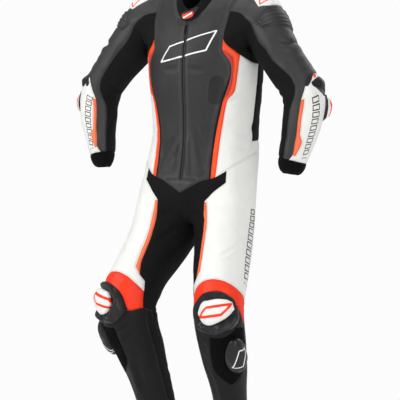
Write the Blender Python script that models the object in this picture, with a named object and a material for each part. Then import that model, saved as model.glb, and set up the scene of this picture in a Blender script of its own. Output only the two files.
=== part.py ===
"""One-piece leather race suit, filled out as if worn and hollow: every cut piece is its own thin wall.

The suit faces -Y with its left side at +X. The origin is where the wearer's shoulders hold it.
Lengths are metres and angles are degrees.
"""

from bisect import bisect_right
from math import ceil, cos, hypot, pi, radians, sin

import bpy
import numpy as np
from mathutils import Vector
from mathutils.geometry import delaunay_2d_cdt

# ---------------------------------------------------------------- driving sizes
WALL = 0.002            # leather with its lining
SEAM_GAP = 0.0003       # left between two pieces at a seam, and under what lies on a piece
SQUARENESS = 0.05       # how far the torso's sections fill out between front and side
DIP_POWER = 1.7         # how sharply the neckline falls towards the front
GRID = 0.037            # triangle size on plain cloth
MOULD_GRID = 0.016      # and on moulded pieces
CLEARANCE = 0.55        # a grid point keeps this share of its spacing from every line

# The trunk's sections, bottom to top. A station is the height on the front, pressed flat.
TRUNK = [
    # station, z_front, z_side, z_back, half_width, y_front, y_back
    (-0.68, -0.680, -0.680, -0.680, 0.210, -0.171, 0.112),
    (-0.60, -0.600, -0.600, -0.600, 0.208, -0.162, 0.120),
    (-0.52, -0.520, -0.520, -0.520, 0.189, -0.146, 0.133),
    (-0.44, -0.440, -0.440, -0.440, 0.176, -0.135, 0.152),
    (-0.36, -0.360, -0.360, -0.360, 0.181, -0.136, 0.158),
    (-0.28, -0.280, -0.280, -0.280, 0.190, -0.142, 0.158),
    (-0.20, -0.200, -0.205, -0.200, 0.195, -0.142, 0.156),
    (-0.15, -0.178, -0.145, -0.145, 0.198, -0.138, 0.154),
    (-0.10, -0.158, -0.085, -0.090, 0.200, -0.134, 0.150),
    (-0.05, -0.138, -0.030, -0.040, 0.193, -0.129, 0.140),
    (-0.01, -0.120, 0.004, 0.000, 0.176, -0.124, 0.126),
    (0.03, -0.102, 0.022, 0.032, 0.142, -0.118, 0.105),
    (0.06, -0.086, 0.027, 0.048, 0.104, -0.113, 0.084),
    (0.08, -0.075, 0.028, 0.054, 0.075, -0.110, 0.068),
]
NECK_STATION = TRUNK[-1][0]

# The seam between trunk and legs, from front centre to back centre.
HIP_SEAM = [
    # around, station
    (0, -0.627),
    (10, -0.606),
    (20, -0.588),
    (33, -0.575),
    (45, -0.553),
    (63, -0.525),
    (90, -0.505),
    (130, -0.495),
    (180, -0.495),
]

# The seam between trunk and left sleeve: where each direction round the arm meets the trunk.
ARMHOLE = [
    # around_arm, around_trunk, station
    (0, 38, -0.100),
    (45, 52, 0.004),
    (90, 88, 0.022),
    (135, 118, -0.010),
    (180, 136, -0.095),
    (225, 122, -0.175),
    (270, 92, -0.207),
    (315, 58, -0.180),
    (360, 38, -0.100),
]

# Rings of the left sleeve below its armhole seam. Skew draws a ring out towards its outer front.
SLEEVE = [
    # station, x, y, z, half_across, half_deep, turned_out, skew
    (0.08, 0.228, -0.006, -0.091, 0.081, 0.086, 0, 0.002),
    (0.16, 0.268, -0.022, -0.154, 0.072, 0.077, 0, 0.004),
    (0.24, 0.317, -0.034, -0.218, 0.067, 0.069, 0, 0.002),
    (0.31, 0.361, -0.038, -0.273, 0.066, 0.067, 0, 0.000),
    (0.38, 0.385, -0.042, -0.333, 0.067, 0.065, 0, 0.000),
    (0.45, 0.381, -0.052, -0.398, 0.061, 0.060, 0, 0.000),
    (0.52, 0.369, -0.062, -0.464, 0.050, 0.051, 0, -0.001),
    (0.575, 0.358, -0.069, -0.516, 0.044, 0.045, 0, -0.002),
    (0.585, 0.356, -0.070, -0.526, 0.038, 0.039, 0, -0.002),
    (0.622, 0.351, -0.073, -0.562, 0.036, 0.037, 0, -0.002),
]
SLEEVE_END = 0.575          # the cuff goes on from here
CUFF_END = 0.622
TWIST = 18                  # the left forearm is turned out by this much, and the right one in
TWIST_FROM, TWIST_TO = 0.20, 0.36
ARM_SEAM_STEP = 15

# Rings of the left leg below its hip seam. A station is the depth below the shoulders.
LEG = [
    # station, x, y, z, half_across, half_deep, turned_out, skew
    (0.76, 0.111, -0.068, -0.760, 0.099, 0.113, 3, 0.008),
    (0.83, 0.130, -0.112, -0.830, 0.091, 0.103, 8, 0.003),
    (0.90, 0.150, -0.165, -0.900, 0.085, 0.095, 14, 0.000),
    (0.96, 0.164, -0.199, -0.960, 0.081, 0.093, 18, 0.004),
    (1.01, 0.169, -0.208, -1.010, 0.080, 0.092, 20, 0.004),
    (1.07, 0.167, -0.190, -1.070, 0.077, 0.088, 20, 0.002),
    (1.15, 0.159, -0.153, -1.150, 0.071, 0.081, 20, 0.000),
    (1.23, 0.152, -0.116, -1.230, 0.061, 0.072, 20, 0.000),
    (1.31, 0.145, -0.087, -1.310, 0.054, 0.064, 20, 0.002),
    (1.39, 0.139, -0.058, -1.390, 0.050, 0.059, 20, 0.002),
]
RIGHT_KNEE_TURNED = 18      # degrees by which the right knee guard sits further out
HIP_STATION = 0.62          # the leg's own station for the whole hip seam
HIP_FRONT = -38             # direction round the leg of the front end of the hip seam
HIP_BACK = 218              # and of its back end; the centre seam is between them
CROTCH_Z = -0.735
CROTCH_Y = -0.020
HEM_STATION = LEG[-1][0]
HIP_SEAM_STEP = 8

COLLAR_HEIGHT = 0.040
COLLAR_TOP_HALF_WIDTH = 0.062
COLLAR_TOP_HALF_DEPTH = 0.079
COLLAR_TOP_Y = -0.021
COLLAR_BULGE = 0.006
COLLAR_WALL = 0.004
NECK_STEP = 10


# ---------------------------------------------------------------- curves and surfaces
def curve(rows):
    """Smooth curve through a table's rows, read by its first column."""
    keys = [row[0] for row in rows]
    values = np.array([row[1:] for row in rows], float)
    slopes = np.gradient(values, np.array(keys, float), axis=0)

    def read(key):
        i = min(max(bisect_right(keys, key) - 1, 0), len(keys) - 2)
        span = keys[i + 1] - keys[i]
        t = min(max((key - keys[i]) / span, 0.0), 1.0)
        start = (1 + 2 * t) * (1 - t) ** 2 * values[i] + t * (1 - t) ** 2 * span * slopes[i]
        end = t * t * (3 - 2 * t) * values[i + 1] + t * t * (t - 1) * span * slopes[i + 1]
        return start + end

    return read


def looped(rows, turn=360):
    """The same rows with one more at each end, so that a curve through a closed loop stays smooth."""
    before = (rows[-2][0] - turn,) + tuple(rows[-2][1:])
    after = (rows[1][0] + turn,) + tuple(rows[1][1:])
    return [before] + list(rows) + [after]


trunk_section = curve(TRUNK)
hip_seam = curve(HIP_SEAM)
armhole = curve(looped(ARMHOLE))


def trunk(around, station):
    """Point on the trunk; around is 0 at front centre, 90 at the left side and 180 at back centre."""
    z_front, z_side, z_back, half_width, y_front, y_back = trunk_section(station)
    s, c = sin(radians(around)), cos(radians(around))
    fullness = 1 + SQUARENESS * (2 * s * c) ** 2
    middle, half_depth = (y_front + y_back) / 2, (y_back - y_front) / 2
    z_end = z_front if c > 0 else z_back
    z = z_side + (z_end - z_side) * abs(c) ** DIP_POWER
    return np.array([half_width * s * fullness, middle - half_depth * c * fullness, z])


def unit(vector):
    return vector / np.linalg.norm(vector)


class Tube:
    """A sleeve or a leg: a first ring of its own, then rings round a path, with a smooth wall between."""

    def __init__(self, first_station, first_ring, rows):
        self.first_ring = first_ring
        self.keys = [first_station] + [row[0] for row in rows]
        ring = [first_ring(angle) for angle in range(0, 360, 10)]
        centres = [sum(ring) / len(ring)] + [np.array(row[1:4]) for row in rows]
        self.rings = []
        for i, row in enumerate(rows, start=1):
            ahead = centres[min(i + 1, len(rows))]
            along = unit(ahead - centres[i - 1])
            turned = radians(row[6])
            forward = np.array([sin(turned), -cos(turned), 0.0])
            forward = unit(forward - along * forward.dot(along))
            outward = np.cross(forward, along)
            to_side, to_front = outward * row[4] + forward * row[7], forward * row[5] + outward * row[7]
            self.rings.append((centres[i], to_side, to_front))
        self.cache = {}

    def __call__(self, around, station):
        """Point on the wall; around is 0 at the front, 90 on the outer side and 180 at the back."""
        key = round(around % 360, 6)
        if key not in self.cache:
            s, c = sin(radians(around)), cos(radians(around))
            points = [self.first_ring(around)] + [m + s * out + c * front for m, out, front in self.rings]
            self.cache[key] = curve([(k, *p) for k, p in zip(self.keys, points)])
        return self.cache[key](station)


def armhole_ring(around):
    return trunk(*armhole(around % 360))


def hip_ring(around):
    """The outer half lies on the hip seam, and the rest on the centre seam under the crotch."""
    around = (around - HIP_FRONT) % 360 + HIP_FRONT
    if around <= HIP_BACK:
        trunk_angle = 180 * (around - HIP_FRONT) / (HIP_BACK - HIP_FRONT)
        return trunk(trunk_angle, hip_seam(trunk_angle)[0])
    t = (around - HIP_BACK) / (HIP_FRONT + 360 - HIP_BACK)
    back, front = trunk(180, hip_seam(180)[0]), trunk(0, hip_seam(0)[0])
    seam = curve(
        [
            # share of the way, y, z
            (0.0, back[1], back[2]),
            (0.22, 0.095, -0.630),
            (0.42, 0.040, CROTCH_Z + 0.020),
            (0.55, CROTCH_Y, CROTCH_Z),
            (0.72, -0.100, CROTCH_Z + 0.018),
            (0.86, -0.155, -0.680),
            (1.0, front[1], front[2]),
        ]
    )
    y, z = seam(t)
    return np.array([0.0, y, z])


sleeve = Tube(0.0, armhole_ring, SLEEVE)
leg = Tube(HIP_STATION, hip_ring, LEG)


def collar(around, station, side=1):
    """Point on the collar band, whose station is the height above the neck seam."""
    s, c = sin(radians(around)), cos(radians(around))
    seam = trunk(around, NECK_STATION)
    top = np.array(
        [COLLAR_TOP_HALF_WIDTH * s, COLLAR_TOP_Y - COLLAR_TOP_HALF_DEPTH * c, seam[2] + COLLAR_HEIGHT]
    )
    t = station / COLLAR_HEIGHT
    return seam + (top - seam) * t + np.array([s, -c, 0.0]) * COLLAR_BULGE * t * (1 - t)


def twisted_sleeve(around, station, side=1):
    """Point on the left sleeve, or on the right one mirrored; the forearms turn the same way in space."""
    t = min(max((station - TWIST_FROM) / (TWIST_TO - TWIST_FROM), 0.0), 1.0)
    return sleeve(around + side * TWIST * t * t * (3 - 2 * t), station)


def plain_leg(around, station, side=1):
    return leg(around, station)


def plain_trunk(around, station, side=1):
    return trunk(around, station)


def outward(surface, around, station, side, downward):
    """Direction out of a surface; downward says that its stations run down."""
    across = surface(around + 0.25, station, side) - surface(around - 0.25, station, side)
    along = surface(around, station + 0.001, side) - surface(around, station - 0.001, side)
    return unit(np.cross(across, along)) * (-1 if downward else 1)


# ---------------------------------------------------------------- lines drawn on the flat patterns
def line(points, scale, step):
    """Points about one step apart on a smooth line through the given (around, station) points."""
    flat = [(around * scale, station) for around, station in points]
    lengths = [0.0]
    for (x0, y0), (x1, y1) in zip(flat, flat[1:]):
        lengths.append(lengths[-1] + hypot(x1 - x0, y1 - y0))
    along = curve([(length, *point) for length, point in zip(lengths, flat)])
    count = max(1, ceil(lengths[-1] / step))
    return [tuple(along(lengths[-1] * i / count)) for i in range(count + 1)]


def join(*lines):
    """Closed outline of lines that run end to end."""
    points = []
    for part in lines:
        points += [point for point in part if not points or hypot(*np.subtract(point, points[-1])) > 1e-6]
    return points[:-1] if hypot(*np.subtract(points[0], points[-1])) < 1e-6 else points


def oval(centre, half_around, half_station, lean, scale, count):
    """Oval outline, leaning by so many degrees on the flat pattern."""
    points = []
    for i in range(count):
        x = half_around * scale * cos(2 * pi * i / count)
        y = half_station * sin(2 * pi * i / count)
        s, c = sin(radians(lean)), cos(radians(lean))
        points.append((centre[0] * scale + x * c - y * s, centre[1] + x * s + y * c))
    return points


def inside(points, polygon):
    """Which of the flat points lie in a closed outline."""
    x, y = np.atleast_2d(points).T[:, :, None]
    x0, y0 = np.array(polygon).T
    x1, y1 = np.roll(x0, -1), np.roll(y0, -1)
    rise = np.where(y1 == y0, 1.0, y1 - y0)
    crossed = ((y0 > y) != (y1 > y)) & (x < x0 + (x1 - x0) * (y - y0) / rise)
    return crossed.sum(1) % 2 == 1


def distance(points, polygons):
    """Distance on the flat pattern from each point to the nearest of some closed outlines."""
    starts = np.array([p for polygon in polygons for p in polygon])
    sides = np.array([p for polygon in polygons for p in polygon[1:] + polygon[:1]]) - starts
    squares = np.maximum((sides * sides).sum(1), 1e-18)
    offsets = np.atleast_2d(points)[:, None, :] - starts
    t = np.clip((offsets * sides).sum(2) / squares, 0, 1)
    return np.sqrt(((offsets - sides * t[:, :, None]) ** 2).sum(2)).min(1)


class Pattern:
    """A surface pressed flat: the outlines of its pieces, and the triangles that they are cut from."""

    def __init__(self, surface, scale, border, twin, hole=None, downward=False):
        self.surface, self.scale, self.twin, self.downward = surface, scale, twin, downward
        self.border, self.hole = border, hole
        self.outlines, self.steps, self.layers = {}, {}, {}

    def draw(self, name, *outlines, step=(GRID, GRID), layer=0):
        """Adds a piece. On one layer, earlier pieces win where two overlap; layer 0 is the cloth itself."""
        self.outlines[name], self.steps[name], self.layers[name] = outlines, step, layer

    def covered(self, points, outlines):
        result = np.zeros(len(points), bool)
        for polygon in outlines:
            result |= inside(points, polygon)
        return result

    def within(self, points):
        result = inside(points, self.border)
        return result & ~inside(points, self.hole) if self.hole else result

    def grid(self, step, lines):
        """Staggered grid points where the pattern has this step, clear of every line."""
        low, high = np.min(self.border, axis=0), np.max(self.border, axis=0)
        rows = np.arange(1, int((high[1] - low[1]) / step[1]) + 1)
        columns = np.arange(int((high[0] - low[0]) / step[0]) + 2)
        row, column = [axis.ravel() for axis in np.meshgrid(rows, columns, indexing="ij")]
        points = np.stack([low[0] + (column + 0.5 * (row % 2)) * step[0], low[1] + row * step[1]], axis=1)
        points = points[self.within(points)]
        wanted = np.full(len(points), step == (GRID, GRID))
        for name in sorted(reversed(list(self.outlines)), key=lambda name: self.layers[name]):
            wanted[self.covered(points, self.outlines[name])] = self.steps[name] == step
        points = points[wanted]
        return points[distance(points, lines) > CLEARANCE * min(step)] if len(points) else points

    def triangulate(self):
        lines = [self.border] + ([self.hole] if self.hole else [])
        lines += [polygon for outlines in self.outlines.values() for polygon in outlines]
        points, edges = [], []
        for polygon in lines:
            first, count = len(points), len(polygon)
            points += polygon
            edges += [(first + i, first + (i + 1) % count) for i in range(count)]
        for step in sorted(set(self.steps.values()) | {(GRID, GRID)}):
            points += [tuple(point) for point in self.grid(step, lines)]
        flat, _, faces, *_ = delaunay_2d_cdt([Vector(point) for point in points], edges, [], 0, 1e-6, False)
        self.flat = np.array([tuple(point) for point in flat])
        faces = np.array([tuple(face) for face in faces])
        centres = self.flat[faces].mean(axis=1)
        keep = self.within(centres)
        used, faces = np.unique(faces[keep], return_inverse=True)
        self.flat, self.centres = self.flat[used], centres[keep]
        self.faces = faces.reshape(-1, 3)
        if self.downward:
            self.faces = self.faces[:, ::-1]
        self.places = {}

    def place(self, side):
        """Place and outward direction of every flat point; a seam's direction is shared by its two sides."""
        result = []
        for x, station in self.flat:
            around = x / self.scale
            place = np.array(self.surface(around, station, side))
            normal = outward(self.surface, around, station, side, self.downward)
            other = self.twin(around, station, side)
            if other is not None:
                normal = unit(normal + other)
            if abs(place[0]) < 1e-6:
                place[0] = normal[0] = 0.0
                normal = unit(normal)
            result.append((place * (side, 1, 1), normal * (side, 1, 1)))
        return result

    def cut(self, name, side):
        """One piece's points and triangles on one side: those in its outlines that no earlier piece takes."""
        taken = np.zeros(len(self.centres), bool)
        for other, outlines in self.outlines.items():
            if other == name:
                break
            if self.layers[other] == self.layers[name]:
                taken |= self.covered(self.centres, outlines)
        faces = self.faces[self.covered(self.centres, self.outlines[name]) & ~taken]
        if side not in self.places:
            self.places[side] = self.place(side)
        return self.places[side], self.flat, faces if side == 1 else faces[:, ::-1]


# ---------------------------------------------------------------- walls
def weld(parts):
    """Joins cut parts where their points fall together: (places, flat points, faces)."""
    index, places, flats, faces = {}, [], [], []
    for points, flat, part_faces in parts:
        for face in part_faces:
            corners = []
            for i in face:
                key = tuple(np.round(points[i][0], 5) + 0.0)
                if key not in index:
                    index[key] = len(places)
                    places.append(points[i])
                    flats.append(flat[i])
                corners.append(index[key])
            if len(set(corners)) == 3:
                faces.append(tuple(corners))
    return places, np.array(flats), faces


def wall(name, parts, material, bottom, top):
    """A closed wall over cut parts, from bottom to top metres above them; each may vary with the flat point."""
    places, flats, faces = weld(parts)
    edges = {(a, b) for face in faces for a, b in zip(face, face[1:] + face[:1])}
    edges = sorted((a, b) for a, b in edges if (b, a) not in edges)
    spots = [place.copy() for place, _ in places]
    pulls = {}
    for a, b in edges:
        for i in (a, b):
            pull = unit(np.cross(places[i][1], places[b][0] - places[a][0]))
            pulls.setdefault(i, []).append(pull)
    for i, directions in pulls.items():
        pull = sum(directions)
        spots[i] += pull * (SEAM_GAP / max(pull.dot(pull), 0.6))
    count = len(places)
    heights = [edge(flats) if callable(edge) else np.full(count, edge) for edge in (bottom, top)]
    low, high = [
        [spot + normal * h for spot, (_, normal), h in zip(spots, places, height)] for height in heights
    ]
    outer = [tuple(i + count for i in face) for face in faces]
    inner = [face[::-1] for face in faces]
    sides = []
    for a, b in edges:
        # Pieces that meet here must split each side face along the same diagonal.
        if tuple(places[a][0]) < tuple(places[b][0]):
            sides += [(a, b, b + count), (a, b + count, a + count)]
        else:
            sides += [(a, b, a + count), (b, b + count, a + count)]
    mesh = bpy.data.meshes.new(name)
    mesh.from_pydata([tuple(p) for p in low + high], [], inner + outer + sides)
    mesh.shade_smooth()
    mesh.set_sharp_from_angle(angle=radians(50))
    mesh.materials.append(material)
    obj = bpy.data.objects.new(name, mesh)
    bpy.context.scene.collection.objects.link(obj)
    return obj


def cloth(name, parts, material, thickness=WALL):
    return wall(name, parts, material, -thickness, 0.0)


def finish(name, colour, roughness, metallic=0.0):
    """A plain Principled material; the colour is sRGB, 0 to 255."""
    material = bpy.data.materials.new(name)
    material.use_nodes = True
    shader = material.node_tree.nodes["Principled BSDF"]
    linear = [((c / 255 + 0.055) / 1.055) ** 2.4 if c > 10 else c / 255 / 12.92 for c in colour]
    shader.inputs["Base Color"].default_value = (*linear, 1.0)
    shader.inputs["Roughness"].default_value = roughness
    shader.inputs["Metallic"].default_value = metallic
    return material


# ---------------------------------------------------------------- the patterns
TRUNK_SCALE = 0.0030        # metres of flat cloth for each degree
SLEEVE_SCALE = 0.0012
LEG_SCALE = 0.0015
COLLAR_SCALE = 0.0014
RIB_PITCH = 0.012
RIB_HEIGHT = 0.0035
RIBS_END = 0.147
PATCH_TOP = 0.0025          # of the hook-and-loop patch, above the leather
STRETCH_FRONT, STRETCH_BACK = 45, 225     # directions round a sleeve where the stretch cloth ends at the armhole
SEAT_OUTER, SEAT_INNER = 130, 210
CALF_INNER = -98
WRAP = (-120, 240)          # a sleeve's pattern is cut open along its inner side
LEG_WRAP = (HIP_FRONT - 10 * HIP_SEAM_STEP, HIP_BACK + 3 * HIP_SEAM_STEP)
PAST = 0.05                 # how far an outline runs past its pattern's border, in metres
AROUND_PAST = 12            # and in degrees

ZIP_HALF = 1.5              # half the zip's width, in degrees round the trunk
ZIP_END = -0.585
GUSSET_HALF = 15
WAIST_STRETCH = (88, -0.463)
LOWEST = -0.700

# Corners on the trunk, as (around, station).
INSERT_TIP = ARMHOLE[0][1:]
INSERT_BEND = ARMHOLE[7][1:]
SHOULDER_END = ARMHOLE[2][1:]
BACK_SEAM_TOP = ARMHOLE[5][1:]
BACK_SEAM = BACK_SEAM_TOP[0]   # direction of the seam between side and back
UNDERARM = ARMHOLE[6][1:]
IN_ARMHOLE = (100, -0.100)
INSERT_FOOT = (53, -0.305)
STRIPE_OUTER_TOP = (47, -0.325)
STRIPE_INNER_TOP = (41, -0.335)
MESH_TOP = (38, -0.150)
MESH_BEND = (50, -0.190)
EDGING_TOP = (49, -0.240)

HIP_SEAM_ANGLES = range(HIP_FRONT, HIP_BACK + 1, HIP_SEAM_STEP)
ARMHOLE_LINE = [tuple(armhole(angle)) for angle in range(360)]


def hip_direction(around_leg):
    """Direction round the trunk of a direction round the leg, at the hip seam."""
    return 180 * (around_leg - HIP_FRONT) / (HIP_BACK - HIP_FRONT)


def trunk_twin(around, station, side):
    """The direction out of whatever is sewn to the trunk at this point of its border."""
    if station > NECK_STATION - 1e-5:
        return outward(collar, around, 0.0, side, False)
    if abs(station - hip_seam(around)[0]) < 0.002:
        around_leg = HIP_FRONT + around * (HIP_BACK - HIP_FRONT) / 180
        return outward(plain_leg, around_leg, HIP_STATION, side, True)
    gaps = [hypot((around - a) * TRUNK_SCALE, station - s) for a, s in ARMHOLE_LINE]
    if min(gaps) < 0.003:
        return outward(twisted_sleeve, gaps.index(min(gaps)), 0.0, side, True)
    return None


def box(low, high, scale):
    """Outline of a plain rectangle between two (around, station) corners."""
    corners = [low, (high[0], low[1]), high, (low[0], high[1]), low]
    return join(*[line(pair, scale, GRID) for pair in zip(corners, corners[1:])])


def trunk_pattern():
    def draw_line(*points):
        return line(points, TRUNK_SCALE, GRID)

    hip = [(hip_direction(a) * TRUNK_SCALE, hip_seam(hip_direction(a))[0]) for a in HIP_SEAM_ANGLES]
    back = draw_line((180, hip[-1][1]), (180, NECK_STATION))
    neck = [(a * TRUNK_SCALE, NECK_STATION) for a in range(180, -1, -NECK_STEP)]
    front = draw_line((0, NECK_STATION), (0, hip[0][1]))
    hole = [(ARMHOLE_LINE[a][0] * TRUNK_SCALE, ARMHOLE_LINE[a][1]) for a in range(0, 360, ARM_SEAM_STEP)]
    pattern = Pattern(plain_trunk, TRUNK_SCALE, join(hip, back, neck, front), trunk_twin, hole=hole)

    insert_outer = draw_line(INSERT_TIP, (60, -0.120)) + draw_line((60, -0.120), INSERT_BEND)
    insert_side = draw_line(INSERT_BEND, (57, -0.215), (55, -0.275), INSERT_FOOT)
    stripe_outer = draw_line(STRIPE_OUTER_TOP, (44, -0.36), (42.5, -0.40), (39.5, -0.46), (36, -0.53), (32.5, -0.60))
    stripe_inner = draw_line(STRIPE_INNER_TOP, (38, -0.385), (34.5, -0.45), (31.5, -0.51), (28.5, -0.60))
    mesh_top = draw_line(MESH_TOP, (43, -0.185), (48, -0.212), EDGING_TOP)
    mesh_inner = draw_line(EDGING_TOP, (47.3, -0.27), (44.5, -0.30), STRIPE_INNER_TOP)
    mesh_outer = draw_line(MESH_BEND, (51, -0.215), (50.5, -0.26), (48, -0.30), STRIPE_INNER_TOP)
    edging_inner = draw_line(EDGING_TOP, (44, -0.285), (39.5, -0.33), (35.5, -0.385), (32, -0.45), (26.5, -0.60))
    insert = join(insert_outer, insert_side, draw_line(INSERT_FOOT, STRIPE_OUTER_TOP), stripe_outer,
                  stripe_inner[::-1], mesh_inner[::-1], mesh_top[::-1], draw_line(MESH_TOP, INSERT_TIP))
    mesh = join(draw_line(MESH_TOP, MESH_BEND), mesh_outer, mesh_inner[::-1], mesh_top[::-1])
    gusset = join(draw_line((-GUSSET_HALF, ZIP_END), (GUSSET_HALF, ZIP_END)),
                  draw_line((GUSSET_HALF, ZIP_END), (0, LOWEST)), draw_line((0, LOWEST), (-GUSSET_HALF, ZIP_END)))

    pattern.draw("zip", box((-5, ZIP_END), (ZIP_HALF, NECK_STATION + PAST), TRUNK_SCALE))
    pattern.draw("gusset", gusset)
    pattern.draw("side_mesh", mesh)
    pattern.draw("side_insert", insert)
    pattern.draw("edging", join(edging_inner, stripe_inner[::-1], mesh_inner[::-1]))
    pattern.draw("side_stretch", join(draw_line(WAIST_STRETCH, UNDERARM), draw_line(UNDERARM, IN_ARMHOLE),
                                      draw_line(IN_ARMHOLE, BACK_SEAM_TOP),
                                      draw_line(BACK_SEAM_TOP, (BACK_SEAM, WAIST_STRETCH[1])),
                                      draw_line((BACK_SEAM, WAIST_STRETCH[1]), WAIST_STRETCH)))
    past_back, past_neck = 180 + AROUND_PAST, NECK_STATION + PAST
    pattern.draw("back_panel", join(draw_line((BACK_SEAM, LOWEST), BACK_SEAM_TOP),
                                    draw_line(BACK_SEAM_TOP, IN_ARMHOLE), draw_line(IN_ARMHOLE, SHOULDER_END),
                                    draw_line(SHOULDER_END, (90, NECK_STATION)),
                                    draw_line((90, NECK_STATION), (90, past_neck)),
                                    draw_line((90, past_neck), (past_back, past_neck)),
                                    draw_line((past_back, past_neck), (past_back, LOWEST)),
                                    draw_line((past_back, LOWEST), (BACK_SEAM, LOWEST))))
    pattern.draw("side_panel", join(insert_side, draw_line(INSERT_FOOT, STRIPE_OUTER_TOP), stripe_outer,
                                    draw_line((32.5, -0.60), (BACK_SEAM, LOWEST)),
                                    draw_line((BACK_SEAM, LOWEST), BACK_SEAM_TOP),
                                    draw_line(BACK_SEAM_TOP, IN_ARMHOLE), draw_line(IN_ARMHOLE, INSERT_BEND)))
    pattern.draw("front_panel", box((-5, LOWEST), (100, NECK_STATION + PAST), TRUNK_SCALE))
    return pattern


def sleeve_twin(around, station, side):
    if station < 1e-6:
        return outward(plain_trunk, *armhole(around % 360), side, False)
    return None


def sleeve_pattern():
    def draw_line(*points, step=GRID):
        return line(points, SLEEVE_SCALE, step)

    seam = [(a * SLEEVE_SCALE, 0.0) for a in range(WRAP[0], WRAP[1] + 1, ARM_SEAM_STEP)]
    far = draw_line((WRAP[1], 0.0), (WRAP[1], CUFF_END))
    cuff = draw_line((WRAP[1], CUFF_END), (WRAP[0], CUFF_END))
    near = [(WRAP[0] * SLEEVE_SCALE, station) for _, station in far[::-1]]
    pattern = Pattern(twisted_sleeve, SLEEVE_SCALE, join(seam, far, cuff, near), sleeve_twin, downward=True)

    low, high = WRAP[0] - AROUND_PAST, WRAP[1] + AROUND_PAST
    stretch_front = draw_line((STRETCH_FRONT, 0.0), (30, 0.040), (4, 0.070), (-8, 0.100), (-8, 0.200), (-2, 0.260),
                              (-2, 0.320), (-12, 0.350), (-32, 0.390), (-40, 0.450), (-38, 0.510), (-34, 0.575))
    stripe_front = draw_line((-1, 0.380), (-7, 0.430), (-3, 0.480), (0, 0.520), (3, 0.560))
    stripe_back = draw_line((8, 0.380), (4, 0.430), (8, 0.475), (11, 0.492))
    stripe_foot = draw_line((11, 0.492), (22, 0.503), (22, 0.528), (14, 0.560))
    white_front = draw_line((44, 0.318), (20, 0.342), (6, 0.366), (-1, 0.380))
    white_top = draw_line((44, 0.318), (80, 0.312), (120, 0.312), (165, 0.318), (198, 0.350))
    guard = join(
        draw_line((46, 0.334), (70, 0.325), (100, 0.319), (136, 0.324), (160, 0.346), step=MOULD_GRID),
        draw_line((160, 0.346), (148, 0.360), (128, 0.366), (110, 0.362), step=MOULD_GRID),
        draw_line((110, 0.362), (90, 0.356), (66, 0.350), (46, 0.334), step=MOULD_GRID),
    )
    plate = join(
        draw_line((92, 0.366), (110, 0.371), (128, 0.374), (150, 0.368), step=MOULD_GRID),
        draw_line((150, 0.368), (160, 0.392), (146, 0.422), (122, 0.436), step=MOULD_GRID),
        draw_line((122, 0.436), (102, 0.424), (90, 0.396), (92, 0.366), step=MOULD_GRID),
    )
    cap = join(
        draw_line((43, 0.073), (58, 0.087), (84, 0.090), (112, 0.086), (138, 0.070), step=MOULD_GRID),
        draw_line((138, 0.070), (146, 0.045), (132, 0.018), (102, 0.010), (78, 0.028), (58, 0.052), (43, 0.073),
                  step=MOULD_GRID),
    )
    ribbed = join(
        draw_line((8, 0.104), (36, 0.098), (84, 0.099), (132, 0.094)),
        draw_line((132, 0.094), (140, RIBS_END)),
        draw_line((140, RIBS_END), (92, RIBS_END), (50, 0.138), (16, 0.128)),
        draw_line((16, 0.128), (8, 0.104)),
    )
    pattern.draw("cuff", box((low, SLEEVE_END), (high, CUFF_END + PAST), SLEEVE_SCALE))
    pattern.draw("sleeve_stretch",
                 join(stretch_front, draw_line((-34, SLEEVE_END), (low, SLEEVE_END)),
                      draw_line((low, SLEEVE_END), (low, -PAST)), draw_line((low, -PAST), (STRETCH_FRONT, -PAST)),
                      draw_line((STRETCH_FRONT, -PAST), (STRETCH_FRONT, 0.0))),
                 box((STRETCH_BACK, -PAST), (high, SLEEVE_END), SLEEVE_SCALE))
    pattern.draw("forearm_stripe", join(stripe_front, draw_line((3, 0.560), (14, 0.560)), stripe_foot[::-1],
                                        stripe_back[::-1], draw_line((8, 0.380), (-1, 0.380))))
    pattern.draw("forearm_panel", join(white_front[::-1], white_top, draw_line((198, 0.350), (198, SLEEVE_END)),
                                       draw_line((198, SLEEVE_END), (-6, SLEEVE_END)),
                                       draw_line((-6, SLEEVE_END), (3, 0.560)), stripe_front[::-1]))
    pattern.draw("accordion", ribbed, step=(0.022, RIB_PITCH / 2))
    pattern.draw("sleeve_leather", box((low, -PAST), (high, SLEEVE_END), SLEEVE_SCALE))
    pattern.draw("elbow_guard", guard, step=(MOULD_GRID, MOULD_GRID), layer=1)
    pattern.draw("elbow_plate", plate, step=(MOULD_GRID, MOULD_GRID), layer=1)
    pattern.draw("shoulder_cap", cap, step=(MOULD_GRID, MOULD_GRID), layer=1)
    return pattern


def leg_twin(around, station, side):
    if station < HIP_STATION + 1e-6 and HIP_FRONT <= around <= HIP_BACK:
        angle = hip_direction(around)
        return outward(plain_trunk, angle, hip_seam(angle)[0], side, False)
    return None


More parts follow.
